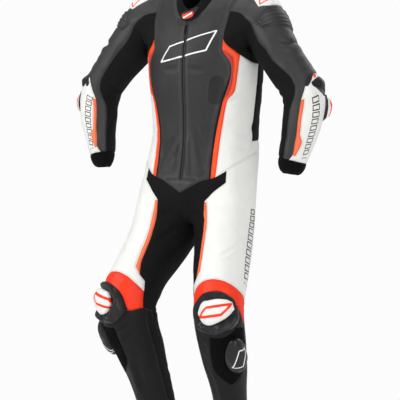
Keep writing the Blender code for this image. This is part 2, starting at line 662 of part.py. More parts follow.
def leg_pattern(turned):
    """A leg; turned is how much further out its knee guard sits, in degrees."""
    def draw_line(*points, step=GRID):
        return line(points, LEG_SCALE, step)

    def knee_line(*points, step=MOULD_GRID):
        shifts = [turned * min(1.0, (around + 90) / 54) for around, _ in points]
        return line([(a + shift, station) for (a, station), shift in zip(points, shifts)], LEG_SCALE, step)

    seam = [(a * LEG_SCALE, HIP_STATION) for a in range(LEG_WRAP[0], LEG_WRAP[1] + 1, HIP_SEAM_STEP)]
    far = draw_line((LEG_WRAP[1], HIP_STATION), (LEG_WRAP[1], HEM_STATION))
    hem = draw_line((LEG_WRAP[1], HEM_STATION), (LEG_WRAP[0], HEM_STATION))
    near = [(LEG_WRAP[0] * LEG_SCALE, station) for _, station in far[::-1]]
    pattern = Pattern(plain_leg, LEG_SCALE, join(seam, far, hem, near), leg_twin, downward=True)

    low, high = LEG_WRAP[0] - AROUND_PAST, LEG_WRAP[1] + AROUND_PAST
    top = HIP_STATION - PAST
    hip_corner, stripe_top, stripe_end = (26, 0.652), (-9, 0.688), (-50, 0.918)
    bat_side = draw_line((26, top), (26, HIP_STATION)) + draw_line((26, HIP_STATION), hip_corner)
    bat_edge = draw_line(hip_corner, (16, 0.660), (4, 0.666), (-5, 0.676), stripe_top)
    stripe_inner = draw_line(stripe_top, (-14, 0.730), (-21, 0.800), (-28, 0.845), (-40, 0.895), stripe_end)
    stripe_outer = draw_line((-5, 0.690), (-8, 0.750), (-14, 0.810), (-21, 0.855), (-33, 0.905))
    white_inner = draw_line(stripe_end, (-66, 0.925), (-74, 0.936), (-76, 0.950))
    band_top = draw_line((-76, 0.950), (-50, 0.940), (-22, 0.932), (10, 0.932), (36, 0.938), (60, 0.946), (90, 0.952))
    band_out = draw_line((90, 0.952), (92, 1.000), (84, 1.040))
    band_low = draw_line((84, 1.040), (74, 1.006), (56 + turned, 0.982), (32 + turned, 0.966), (2 + turned, 0.958),
                         (-26 + turned, 0.964), (-44 + turned, 0.982))
    band_foot = draw_line((-44 + turned, 0.982), (-56 + turned, 0.999), (-86, 0.996))
    band_in = draw_line((-86, 0.996), (-76, 0.950))
    knee_in = draw_line((-86, 0.996), (-104, 1.010), (low, 1.010))
    seat_low = draw_line((SEAT_OUTER, 0.970), (150, 1.000), (SEAT_INNER, 1.010))
    calf_outer = draw_line((SEAT_OUTER, 0.970), (SEAT_OUTER + 5, 1.020), (SEAT_OUTER + 6, HEM_STATION + PAST))
    cup = join(
        knee_line((-62, 1.000), (-50, 0.975), (-28, 0.961), (2, 0.957), (28, 0.962), (46, 0.974), (58, 0.994)),
        knee_line((58, 0.994), (56, 1.012), (38, 1.026), (10, 1.034), (-20, 1.034), (-46, 1.026), (-62, 1.000)),
    )
    plate = join(
        knee_line((-36, 0.993), (-28, 0.978), (-8, 0.973), (20, 0.972), (36, 0.977), (40, 0.988)),
        knee_line((40, 0.988), (28, 0.998), (6, 1.008), (-14, 1.013), (-28, 1.008), (-36, 0.993)),
    )
    coarse = MOULD_GRID * 1.5
    patch = join(
        draw_line((-18, 1.042), (-22, 1.105), (-18, 1.150), (2, 1.182), (18, 1.206), step=coarse),
        draw_line((18, 1.206), (40, 1.196), (62, 1.166), (76, 1.110), (76, 1.040), step=coarse),
        draw_line((76, 1.040), (52 + turned, 1.028), (32 + turned, 1.038), (8 + turned / 2, 1.044), (-18, 1.042),
                  step=coarse),
    )
    slider = oval((40 + turned / 2, 1.106 - turned * 0.0006), 27, 0.058, -8, LEG_SCALE, 22)

    pattern.draw("thigh_stripe", join(stripe_inner, draw_line(stripe_end, (-33, 0.905)), stripe_outer[::-1],
                                      draw_line((-5, 0.690), stripe_top)))
    pattern.draw("knee_band", join(band_top, band_out, band_low, band_foot, band_in))
    pattern.draw("hip_stretch",
                 join(bat_side, bat_edge, stripe_inner, white_inner, band_in[::-1], knee_in,
                      draw_line((low, 1.010), (low, top)), draw_line((low, top), (26, top))),
                 box((SEAT_INNER, top), (high, 1.010), LEG_SCALE))
    pattern.draw("seat_panel", join(draw_line((SEAT_OUTER, top), (SEAT_OUTER, HIP_STATION)),
                                    draw_line((SEAT_OUTER, HIP_STATION), (SEAT_OUTER, 0.970)), seat_low,
                                    draw_line((SEAT_INNER, 1.010), (SEAT_INNER, top)),
                                    draw_line((SEAT_INNER, top), (SEAT_OUTER, top))))
    pattern.draw("calf_panel",
                 box((low, 1.010), (CALF_INNER, HEM_STATION + PAST), LEG_SCALE),
                 join(seat_low, draw_line((SEAT_INNER, 1.010), (high, 1.010)),
                      draw_line((high, 1.010), (high, HEM_STATION + PAST)),
                      draw_line((high, HEM_STATION + PAST), (SEAT_OUTER + 6, HEM_STATION + PAST)),
                      calf_outer[::-1]))
    pattern.draw("shin_panel", join(band_low, band_foot, knee_in, draw_line((low, 1.010), (low, HEM_STATION + PAST)),
                                    draw_line((low, HEM_STATION + PAST), (SEAT_OUTER + 6, HEM_STATION + PAST)),
                                    calf_outer[::-1], draw_line((SEAT_OUTER, 0.970), (90, 0.952)), band_out))
    pattern.draw("thigh_panel", box((low, top), (high, 1.050), LEG_SCALE))
    mould = (MOULD_GRID, MOULD_GRID)
    pattern.draw("knee_plate", plate, step=mould, layer=1)
    pattern.draw("knee_cup", cup, step=mould, layer=1)
    pattern.draw("slider_patch", patch, step=(coarse, coarse), layer=1)
    pattern.draw("knee_slider", slider, step=mould, layer=2)
    return pattern


def collar_twin(around, station, side):
    return outward(plain_trunk, around, NECK_STATION, side, False) if station < 1e-6 else None


def collar_pattern():
    def draw_line(*points, step=GRID):
        return line(points, COLLAR_SCALE, step)

    seam = [(a * COLLAR_SCALE, 0.0) for a in range(-180, 181, NECK_STEP)]
    back = draw_line((180, 0.0), (180, COLLAR_HEIGHT), step=0.02)
    top = [(a * COLLAR_SCALE, COLLAR_HEIGHT) for a in range(180, -181, -NECK_STEP)]
    border = join(seam, back, top, [(-180 * COLLAR_SCALE, station) for _, station in back[::-1]])
    pattern = Pattern(collar, COLLAR_SCALE, border, collar_twin)
    tab = join(draw_line((-24, 0.010), (-10, 0.030), (20, 0.034)), draw_line((20, 0.034), (30, 0.020)),
               draw_line((30, 0.020), (22, 0.008), (-16, 0.004)), draw_line((-16, 0.004), (-24, 0.010)))
    pattern.draw("collar_slit", box((-1, -PAST), (1, COLLAR_HEIGHT + PAST), COLLAR_SCALE))
    pattern.draw("collar", box((-190, -PAST), (190, COLLAR_HEIGHT + PAST), COLLAR_SCALE))
    pattern.draw("collar_tab", tab, layer=1)
    return pattern


# ---------------------------------------------------------------- the moulded pieces' heights
def domed(outlines, edge, crown, reach):
    """Height over the flat points: edge at the outline, rising in a round shoulder to crown."""

    def height(flats):
        t = np.clip(distance(flats, outlines) / reach, 0, 1)
        return edge + (crown - edge) * np.sqrt(1 - (1 - t) ** 2)

    return height


def ring(outer, inner, edge, crown):
    """Height over the flat points of a ring: low at both outlines and highest halfway."""

    def height(flats):
        from_outer, from_inner = distance(flats, outer), distance(flats, inner)
        t = from_outer / np.maximum(from_outer + from_inner, 1e-9)
        return edge + (crown - edge) * np.sin(pi * np.clip(t, 0, 1)) ** 0.7

    return height


def ribs(flats):
    """Ribs run round the arm; they sink at the panel's own seams."""
    return RIB_HEIGHT * np.abs(np.sin(pi * (RIBS_END - flats[:, 1]) / RIB_PITCH))


# ---------------------------------------------------------------- the whole suit
def build():
    for obj in list(bpy.data.objects):
        bpy.data.objects.remove(obj, do_unlink=True)
    leather = finish("Dark leather", (68, 68, 70), 0.5)
    perforated = finish("Perforated dark leather", (74, 74, 76), 0.55)
    stretch = finish("Black stretch cloth", (30, 30, 32), 0.85)
    white = finish("White leather", (232, 231, 228), 0.45)
    orange = finish("Orange leather", (250, 95, 60), 0.45)
    red = finish("Red leather", (238, 52, 34), 0.45)
    red_mesh = finish("Red mesh", (206, 66, 50), 0.8)
    knit = finish("Black knit", (16, 16, 17), 0.9)
    moulded = finish("Black moulded plastic", (40, 40, 42), 0.4)
    hook = finish("Black hook-and-loop", (24, 24, 25), 0.95)

    trunk_cut, sleeve_cut, collar_cut = trunk_pattern(), sleeve_pattern(), collar_pattern()
    leg_cuts = {1: leg_pattern(0), -1: leg_pattern(RIGHT_KNEE_TURNED)}
    for pattern in (trunk_cut, sleeve_cut, collar_cut, *leg_cuts.values()):
        pattern.triangulate()

    cloth("front_zip", [trunk_cut.cut("zip", 1), trunk_cut.cut("zip", -1)], knit, thickness=0.003)
    cloth("zip_gusset", [trunk_cut.cut("gusset", 1), trunk_cut.cut("gusset", -1)], perforated)
    cloth("back_panel", [trunk_cut.cut("back_panel", 1), trunk_cut.cut("back_panel", -1)], leather)
    cloth("collar", [collar_cut.cut("collar", 1)], stretch, thickness=COLLAR_WALL)
    wall("collar_tab", [collar_cut.cut("collar_tab", 1)], red, SEAM_GAP, 0.0045)

    for side, letter in ((1, "L"), (-1, "R")):
        leg_cut = leg_cuts[side]
        for pattern, name, node, material in (
            (trunk_cut, "front_panel", "front_panel", perforated),
            (trunk_cut, "edging", "edging_strip", stretch),
            (trunk_cut, "side_mesh", "side_mesh", red_mesh),
            (trunk_cut, "side_insert", "side_insert", orange),
            (trunk_cut, "side_panel", "side_panel", white),
            (trunk_cut, "side_stretch", "side_stretch", stretch),
            (sleeve_cut, "sleeve_leather", "sleeve_leather", leather),
            (sleeve_cut, "sleeve_stretch", "sleeve_stretch", stretch),
            (sleeve_cut, "forearm_stripe", "forearm_stripe", orange),
            (sleeve_cut, "forearm_panel", "forearm_panel", white),
            (sleeve_cut, "cuff", "cuff", knit),
            (leg_cut, "hip_stretch", "hip_stretch", stretch),
            (leg_cut, "thigh_stripe", "thigh_stripe", orange),
            (leg_cut, "thigh_panel", "thigh_panel", white),
            (leg_cut, "knee_band", "knee_band", red),
            (leg_cut, "seat_panel", "seat_panel", leather),
            (leg_cut, "calf_panel", "calf_panel", stretch),
            (leg_cut, "shin_panel", "shin_panel", leather),
        ):
            cloth(f"{node}_{letter}", [pattern.cut(name, side)], material)
        wall(f"accordion_{letter}", [sleeve_cut.cut("accordion", side)], stretch, -WALL, ribs)

        lift = SEAM_GAP
        cap, guard, elbow = [sleeve_cut.outlines[n] for n in ("shoulder_cap", "elbow_guard", "elbow_plate")]
        cup, plate, puck = [leg_cut.outlines[n] for n in ("knee_cup", "knee_plate", "knee_slider")]
        wall(f"shoulder_cap_{letter}", [sleeve_cut.cut("shoulder_cap", side)], white, lift,
             domed(cap, 0.004, 0.011, 0.030))
        wall(f"elbow_guard_{letter}", [sleeve_cut.cut("elbow_guard", side)], moulded, lift,
             domed(guard, 0.003, 0.012, 0.022))
        wall(f"elbow_plate_{letter}", [sleeve_cut.cut("elbow_plate", side)], white, lift,
             domed(elbow, 0.006, 0.024, 0.030))
        wall(f"knee_cup_{letter}", [leg_cut.cut("knee_cup", side)], moulded, lift, ring(cup, plate, 0.004, 0.020))
        wall(f"knee_plate_{letter}", [leg_cut.cut("knee_plate", side)], white, lift, domed(plate, 0.016, 0.030, 0.032))
        wall(f"slider_patch_{letter}", [leg_cut.cut("slider_patch", side)], hook, lift, PATCH_TOP)
        wall(f"knee_slider_{letter}", [leg_cut.cut("knee_slider", side)], moulded, PATCH_TOP + lift,
             domed(puck, 0.012, 0.028, 0.030))


if __name__ == "__main__":
    build()
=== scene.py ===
"""One-piece leather race suit, dressed: folds, seams, stitching, ribs, zip, armour and finishes.

It is laid out as an add-on and run as a script. The suit faces -Y with its left side at +X, and
its origin is where the wearer's shoulders hold it. Lengths are metres and angles are degrees.
Stations are depths below the shoulders, and around is 0 at the front and 90 on the outer side.
"""

from math import ceil, cos, pi, radians, sin

import bmesh
import bpy
import numpy as np
from bpy.props import FloatProperty, FloatVectorProperty, PointerProperty
from bpy.types import Operator, Panel, PropertyGroup
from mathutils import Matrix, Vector, noise
from mathutils.bvhtree import BVHTree
from mathutils.kdtree import KDTree


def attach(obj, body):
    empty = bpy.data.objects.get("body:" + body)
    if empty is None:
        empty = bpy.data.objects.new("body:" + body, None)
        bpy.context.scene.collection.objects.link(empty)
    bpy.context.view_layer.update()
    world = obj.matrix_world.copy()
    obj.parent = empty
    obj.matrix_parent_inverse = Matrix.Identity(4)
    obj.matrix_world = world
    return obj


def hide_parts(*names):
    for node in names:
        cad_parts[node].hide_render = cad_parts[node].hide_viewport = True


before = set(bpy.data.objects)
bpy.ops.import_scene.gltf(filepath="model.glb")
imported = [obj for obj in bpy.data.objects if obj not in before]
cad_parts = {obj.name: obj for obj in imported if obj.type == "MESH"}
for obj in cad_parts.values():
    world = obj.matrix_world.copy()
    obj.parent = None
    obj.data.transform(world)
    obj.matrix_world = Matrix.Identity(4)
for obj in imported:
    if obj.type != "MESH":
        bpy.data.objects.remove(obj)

bl_info = {
    "name": "Race suit",
    "version": (1, 0, 0),
    "blender": (4, 5, 0),
    "location": "View3D > Sidebar > Race suit",
    "description": "Dresses the race suit's frame in leather, stretch cloth and armour",
    "category": "Object",
}

# ---------------------------------------------------------------- fixed sizes
PATCH_BEND = 50             # faces that meet more sharply than this are on two patches
SEAM_REACH = 0.0013         # edges nearer than this are sewn together
SLIT_WIDTH, SLIT_SHAPE = 0.003, 0.3     # a hole wider than this, and narrower than this share of its length, is closed
ROLL_START, ROLL_LENGTH, ROLL_DEPTH = 0.582, 0.040, 0.017      # how the cuffs roll in at their ends
PRESSED, PRESS_FADE = 0.001, 0.011      # cloth this near a moulded piece lies flat, and fades to its full form
ZIP_LINE, ZIP_TOP, ZIP_END, TOOTH_PITCH, SLIDER_HEIGHT = -0.0032, -0.105, -0.590, 0.0024, -0.094
FLOOR_HEIGHT, PAPER, SOFT_LIGHT = -1.56, 0.975, 0.42

# ---------------------------------------------------------------- the suit's own tables
# Middle of each limb, from its top; turned is how far its front looks outwards.
BODY_WAY = [
    # station, x, y, z, turned
    (-0.06, 0.0, -0.020, 0.060, 0),
    (0.10, 0.0, 0.004, -0.100, 0),
    (0.28, 0.0, 0.008, -0.280, 0),
    (0.44, 0.0, 0.008, -0.440, 0),
    (0.60, 0.0, -0.021, -0.600, 0),
    (0.74, 0.0, -0.030, -0.740, 0),
]
ARM_WAY = [
    # station, x, y, z, turned
    (-0.06, 0.120, -0.002, -0.020, 0),
    (0.00, 0.168, -0.004, -0.055, 0),
    (0.08, 0.228, -0.006, -0.091, 0),
    (0.16, 0.268, -0.022, -0.154, 0),
    (0.24, 0.317, -0.034, -0.218, 0),
    (0.31, 0.361, -0.038, -0.273, 0),
    (0.38, 0.385, -0.042, -0.333, 0),
    (0.45, 0.381, -0.052, -0.398, 0),
    (0.52, 0.369, -0.062, -0.464, 0),
    (0.575, 0.358, -0.069, -0.516, 0),
    (0.64, 0.347, -0.076, -0.582, 0),
]
LEG_WAY = [
    # station, x, y, z, turned
    (0.56, 0.085, -0.024, -0.560, 0),
    (0.66, 0.095, -0.036, -0.660, 0),
    (0.76, 0.111, -0.068, -0.760, 3),
    (0.83, 0.130, -0.112, -0.830, 8),
    (0.90, 0.150, -0.165, -0.900, 14),
    (0.96, 0.164, -0.199, -0.960, 18),
    (1.01, 0.169, -0.208, -1.010, 20),
    (1.07, 0.167, -0.190, -1.070, 20),
    (1.15, 0.159, -0.153, -1.150, 20),
    (1.23, 0.152, -0.116, -1.230, 20),
    (1.31, 0.145, -0.087, -1.310, 20),
    (1.42, 0.136, -0.047, -1.420, 20),
]

# Every cut piece of cloth: what it is made of, the limb it is on, and its flat cut.
PANELS = {
    # node: slot, limb, width, length, area of the flat cut, finish
    "front_panel": ("perforated_leather", "body", 0.165, 0.67, 0.073, "perforated"),
    "zip_gusset": ("perforated_leather", "body", 0.045, 0.105, 0.0028, "perforated"),
    "edging_strip": ("stretch", "body", 0.018, 0.35, 0.0021, "edging"),
    "side_mesh": ("red_mesh", "body", 0.028, 0.165, 0.0015, "red_mesh"),
    "side_insert": ("orange_leather", "body", 0.055, 0.45, 0.0075, "orange"),
    "side_panel": ("white_leather", "body", 0.22, 0.4, 0.043, "white"),
    "side_stretch": ("stretch", "body", 0.095, 0.29, 0.022, "stretch"),
    "back_panel": ("leather", "body", 0.39, 0.65, 0.211, "leather"),
    "sleeve_leather": ("leather", "arm", 0.54, 0.57, 0.111, "sleeve"),
    "sleeve_stretch": ("stretch", "arm", 0.29, 0.505, 0.071, "stretch"),
    "forearm_stripe": ("orange_leather", "arm", 0.024, 0.18, 0.0024, "stripe"),
    "forearm_panel": ("white_leather", "arm", 0.215, 0.295, 0.051, "forearm"),
    "cuff": ("knit", "arm", 0.24, 0.05, 0.0119, "knit"),
    "accordion": ("stretch", "arm", 0.075, 0.18, 0.0104, "accordion"),
    "hip_stretch": ("stretch", "leg", 0.42, 0.595, 0.0886, "stretch"),
    "thigh_stripe": ("orange_leather", "leg", 0.02, 0.25, 0.0033, "stripe"),
    "thigh_panel": ("white_leather", "leg", 0.315, 0.525, 0.107, "thigh"),
    "knee_band": ("red_leather", "leg", 0.115, 0.28, 0.015, "red"),
    "seat_panel": ("leather", "leg", 0.17, 0.6, 0.082, "leather"),
    "calf_panel": ("stretch", "leg", 0.19, 0.41, 0.0565, "calf"),
    "shin_panel": ("leather", "leg", 0.34, 0.53, 0.14, "shin"),
    "collar": ("stretch", "body", 0.05, 0.52, 0.021, "stretch"),
    "front_zip": ("knit", "body", 0.0105, 0.515, 0.0048, "tape"),
}
HARD_LIMBS = {"shoulder_cap": "arm", "elbow_guard": "arm", "elbow_plate": "arm", "knee_cup": "leg",
              "knee_plate": "leg", "slider_patch": "leg", "knee_slider": "leg", "collar_tab": "body"}
BARE = {("thigh_panel", "R")}     # a kind and side that carry no mark
HARD = tuple(HARD_LIMBS)
SINGLE = ("zip_gusset", "back_panel", "collar", "front_zip", "collar_tab")

# Folds of the hanging cloth: troughs where depth is more than 0, and soft ridges where it is less.
FOLDS = [
    # limb, sides, width, depth, the way as (around, station) pairs
    ("body", "L", 0.008, -0.0035, ((4, 0.455), (7, 0.530), (12, 0.600))),
    ("body", "L", 0.009, 0.0050, ((13, 0.395), (19, 0.470), (26, 0.530), (31, 0.585))),
    ("body", "L", 0.009, -0.0040, ((22, 0.425), (30, 0.500), (36, 0.575))),
    ("body", "R", 0.009, 0.0045, ((38, 0.560), (26, 0.505), (9, 0.462))),
    ("body", "R", 0.009, -0.0030, ((36, 0.585), (23, 0.545), (10, 0.500))),
    ("body", "R", 0.008, 0.0040, ((5, 0.480), (8, 0.540), (11, 0.595))),
    ("body", "R", 0.006, -0.0020, ((32, 0.245), (29, 0.285), (28, 0.320))),
    ("body", "LR", 0.0045, 0.0022, ((43, 0.232), (34, 0.248), (29, 0.285), (30, 0.320), (34, 0.362), (37, 0.392))),
    ("body", "LR", 0.010, 0.0025, ((4, 0.215), (16, 0.228), (30, 0.226))),
    ("body", "LR", 0.007, 0.0032, ((54, 0.333), (63, 0.320), (73, 0.306))),
    ("body", "LR", 0.012, 0.0040, ((96, 0.400), (80, 0.440), (60, 0.455))),
    ("body", "LR", 0.012, 0.0045, ((97, 0.460), (82, 0.490), (64, 0.500))),
    ("body", "LR", 0.011, 0.0040, ((176, 0.395), (150, 0.405), (122, 0.395))),
    ("body", "LR", 0.011, 0.0045, ((178, 0.438), (150, 0.450), (120, 0.440))),
    ("body", "LR", 0.010, 0.0035, ((175, 0.480), (155, 0.492), (130, 0.486))),
    ("body", "LR", 0.014, 0.0040, ((128, 0.090), (140, 0.150), (146, 0.230))),
    ("body", "LR", 0.010, 0.0030, ((152, 0.060), (158, 0.130), (160, 0.200))),
    ("arm", "LR", 0.010, 0.0060, ((28, 0.183), (50, 0.199), (72, 0.206), (100, 0.202), (124, 0.190))),
    ("arm", "LR", 0.011, -0.0025, ((24, 0.205), (50, 0.223), (80, 0.229), (110, 0.222))),
    ("arm", "LR", 0.007, 0.0022, ((40, 0.293), (62, 0.303), (95, 0.298), (130, 0.290))),
    ("arm", "LR", 0.010, 0.0018, ((20, 0.255), (50, 0.268), (84, 0.262))),
    ("arm", "LR", 0.010, 0.0030, ((338, 0.330), (300, 0.345), (262, 0.338), (236, 0.320))),
    ("arm", "LR", 0.010, 0.0022, ((336, 0.290), (300, 0.302), (262, 0.296), (240, 0.284))),
    ("arm", "LR", 0.009, 0.0022, ((330, 0.372), (298, 0.386), (262, 0.380), (240, 0.366))),
    ("arm", "LR", 0.011, 0.0050, ((336, 0.045), (318, 0.090), (300, 0.140))),
    ("arm", "LR", 0.011, 0.0050, ((300, 0.040), (288, 0.085), (280, 0.140))),
    ("arm", "LR", 0.012, 0.0040, ((356, 0.150), (350, 0.205), (340, 0.260))),
    ("arm", "LR", 0.008, 0.0030, ((322, 0.440), (330, 0.480), (334, 0.530))),
    ("arm", "LR", 0.008, 0.0035, ((270, 0.430), (285, 0.480), (300, 0.530))),
    ("arm", "LR", 0.012, 0.0045, ((150, 0.140), (180, 0.165), (212, 0.160))),
    ("arm", "LR", 0.012, 0.0040, ((146, 0.230), (176, 0.250), (206, 0.240))),
    ("arm", "LR", 0.009, 0.0040, ((186, 0.330), (208, 0.345), (232, 0.335))),
    ("leg", "LR", 0.008, 0.0055, ((304, 1.026), (326, 1.044), (350, 1.052), (14, 1.050), (40, 1.040))),
    ("leg", "LR", 0.008, 0.0040, ((300, 1.050), (318, 1.068), (338, 1.074))),
    ("leg", "LR", 0.010, -0.0025, ((300, 1.080), (318, 1.094), (336, 1.098))),
    ("leg", "LR", 0.012, 0.0070, ((224, 0.985), (192, 1.004), (160, 1.006), (138, 0.996))),
    ("leg", "LR", 0.010, 0.0055, ((222, 1.025), (190, 1.040), (160, 1.038))),
    ("leg", "LR", 0.010, 0.0045, ((226, 0.950), (196, 0.962), (166, 0.958))),
    ("leg", "LR", 0.009, 0.0040, ((250, 0.990), (240, 1.020), (236, 1.060))),
    ("leg", "LR", 0.013, 0.0050, ((86, 0.535), (84, 0.580), (78, 0.630))),
    ("leg", "LR", 0.0045, 0.0020, ((348, 0.900), (10, 0.892), (36, 0.878), (54, 0.845), (66, 0.800), (70, 0.745))),
    ("leg", "LR", 0.006, 0.0035, ((4, 0.884), (26, 0.866), (53, 0.829), (62, 0.789))),
    ("leg", "LR", 0.014, 0.0040, ((110, 0.640), (100, 0.700), (96, 0.770))),
    ("leg", "LR", 0.012, 0.0055, ((152, 0.800), (178, 0.822), (206, 0.806))),
    ("leg", "LR", 0.012, 0.0045, ((150, 0.860), (176, 0.878), (204, 0.866))),
    ("leg", "LR", 0.010, 0.0050, ((318, 0.690), (338, 0.725), (352, 0.765))),
    ("leg", "LR", 0.010, 0.0045, ((300, 0.730), (316, 0.780), (326, 0.840))),
    ("leg", "LR", 0.011, 0.0040, ((276, 0.760), (286, 0.820), (292, 0.880))),
    ("leg", "LR", 0.012, 0.0040, ((314, 1.130), (326, 1.200), (330, 1.280))),
    ("leg", "LR", 0.012, -0.0030, ((334, 1.140), (346, 1.210), (350, 1.290))),
    ("leg", "LR", 0.010, 0.0045, ((200, 1.130), (180, 1.150), (158, 1.146))),
    ("leg", "LR", 0.010, 0.0040, ((216, 1.240), (190, 1.262), (160, 1.256))),
    ("leg", "LR", 0.009, 0.0040, ((210, 1.310), (184, 1.330), (150, 1.322))),
    ("leg", "LR", 0.009, 0.0030, ((60, 1.300), (20, 1.325), (336, 1.318))),
]

# Plain marks in the places of the maker's, and one painted shade patch on the left front panel: strokes as (ink, half
# width, closed, way of (around, station) pairs).
MARKS = {
    "front_panel": [("a", 0.0024, True, ((-32, 0.204), (-22, 0.154), (43, 0.096), (30, 0.166))),
                    ("b", 0.0110, False, ((-17, 0.062), (-2, 0.070), (12, 0.062), (20, 0.040))),
                    # painted shade: this wide stroke darkens the left front only, where the torso turns away from the
                    # light by the flank
                    ("b", 0.0210, False, ((41, 0.268), (40, 0.322)))],
    "sleeve_leather": [("b", 0.0030, False, ((76, 0.320), (92, 0.316)))],
    "forearm_panel": [("a", 0.0085, False, ((49, 0.342), (62, 0.353), (80, 0.364), (110, 0.360), (140, 0.354))),
                      ("a", 0.0090, False, ((28, 0.336), (50, 0.316), (60, 0.308), (72, 0.302))),
                      ("b", 0.0045, False, ((63, 0.321), (70, 0.318)))],
    "shoulder_cap": [("a", 0.0022, True, ((46, 0.050), (62, 0.024), (96, 0.026), (80, 0.056)))],
    "elbow_plate": [("b", 0.0030, False, ((110, 0.366), (100, 0.380), (100, 0.400), (106, 0.416))),
                    ("b", 0.0045, False, ((126, 0.371), (152, 0.370), (160, 0.392), (147, 0.422)))],
    "knee_plate": [("a", 0.0022, True, ((-27, 1.002), (-10, 0.986), (30, 0.980), (12, 0.997)))],
    "knee_slider": [("a", 0.0016, True, ((22, 1.128), (36, 1.078), (52, 1.084), (42, 1.136)))],
    "collar_tab": [("b", 0.0085, False, ((-9, 0.046), (7, 0.037))), ("a", 0.0022, False, ((-9, 0.049), (7, 0.034)))],
}
# A row of plain slanting boxes along a panel: how many, the first one's station, their pitch,
# the row's middle (around) at its two ends and its width in degrees.
BOXES = {
    "forearm_panel": (9, 0.372, 0.0196, 43, 53, 24),
    "thigh_panel": (10, 0.692, 0.0215, 95, 87, 27),
}
# How far the marks are turned from the elbow down: the left forearm turns out, and the right one in.
MARK_TURNS = {"L": 18, "R": -18, ("forearm_panel", "R"): 0}
BOX_TURNS = {"L": 18, "R": -40}
MARK_SCALE = {"arm": 0.0012, "leg": 0.0015, "body": 0.0026}

MIRROR = np.array([-1.0, 1.0, 1.0])


# ---------------------------------------------------------------- small helpers
def unit(vectors):
    return vectors / np.maximum(np.linalg.norm(vectors, axis=-1, keepdims=True), 1e-12)


def ease(values, low, high):
    """0 below low and 1 above high, with a smooth rise between."""
    t = np.clip((values - low) / (high - low), 0, 1)
    return t * t * (3 - 2 * t)


def node_names(kind):
    return [kind] if kind in SINGLE else [kind + "_L", kind + "_R"]


def corners(node):
    """(points, triangles) of a solid of the frame, with its doubled corners merged."""
    mesh = bmesh.new()
    mesh.from_mesh(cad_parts[node].data)
    bmesh.ops.remove_doubles(mesh, verts=mesh.verts, dist=1e-5)
    bmesh.ops.triangulate(mesh, faces=mesh.faces)
    mesh.verts.index_update()
    points = np.array([v.co[:] for v in mesh.verts])
    faces = np.array([[v.index for v in f.verts] for f in mesh.faces])
    mesh.free()
    return points, faces


def face_normals(points, faces):
    """Normals as long as twice their triangle's area."""
    a, b, c = points[faces[:, 0]], points[faces[:, 1]], points[faces[:, 2]]
    return np.cross(b - a, c - a)


def point_normals(points, faces):
    normals = face_normals(points, faces)
    result = np.zeros_like(points)
    for k in range(3):
        for axis in range(3):
            result[:, axis] += np.bincount(faces[:, k], normals[:, axis], len(points))
    return unit(result)


def edges_of(faces):
    """(edges, edge index of each face side, face count of each edge)."""
    sides = np.sort(np.concatenate([faces[:, [0, 1]], faces[:, [1, 2]], faces[:, [2, 0]]]), axis=1)
    edges, index, counts = np.unique(sides, axis=0, return_inverse=True, return_counts=True)
    return edges, index.reshape(3, -1).T, counts


def patches(points, faces, bend):
    """Number of the smooth patch that each triangle is in; a patch ends where the surface turns more than bend."""
    normals = unit(face_normals(points, faces))
    edges, index, _ = edges_of(faces)
    owners = [[] for _ in edges]
    for face, sides in enumerate(index):
        for side in sides:
            owners[side].append(face)
    limit, patch, count = cos(radians(bend)), np.full(len(faces), -1), 0
    for start in range(len(faces)):
        if patch[start] >= 0:
            continue
        patch[start], queue = count, [start]
        while queue:
            face = queue.pop()
            for side in index[face]:
                for other in owners[side]:
                    if patch[other] < 0 and normals[face] @ normals[other] > limit:
                        patch[other] = count
                        queue.append(other)
        count += 1
    return patch


def neighbours(faces, patch):
    """The set of patches beside each patch."""
    edges, index, _ = edges_of(faces)
    owners = [set() for _ in edges]
    for face, sides in enumerate(index):
        for side in sides:
            owners[side].add(int(patch[face]))
    beside = [set() for _ in range(patch.max() + 1)]
    for pair in owners:
        for i in pair:
            beside[i] |= pair - {i}
    return beside


def point_tree(points, numbers=None):
    """A tree that finds the nearest of some points, known by their place in the list or by their own numbers."""
    tree = KDTree(len(points))
    for i, point in enumerate(points):
        tree.insert(point, i if numbers is None else int(numbers[i]))
    tree.balance()
    return tree


def compact(points, faces):
    used, index = np.unique(faces, return_inverse=True)
    return points[used], index.reshape(-1, 3), used


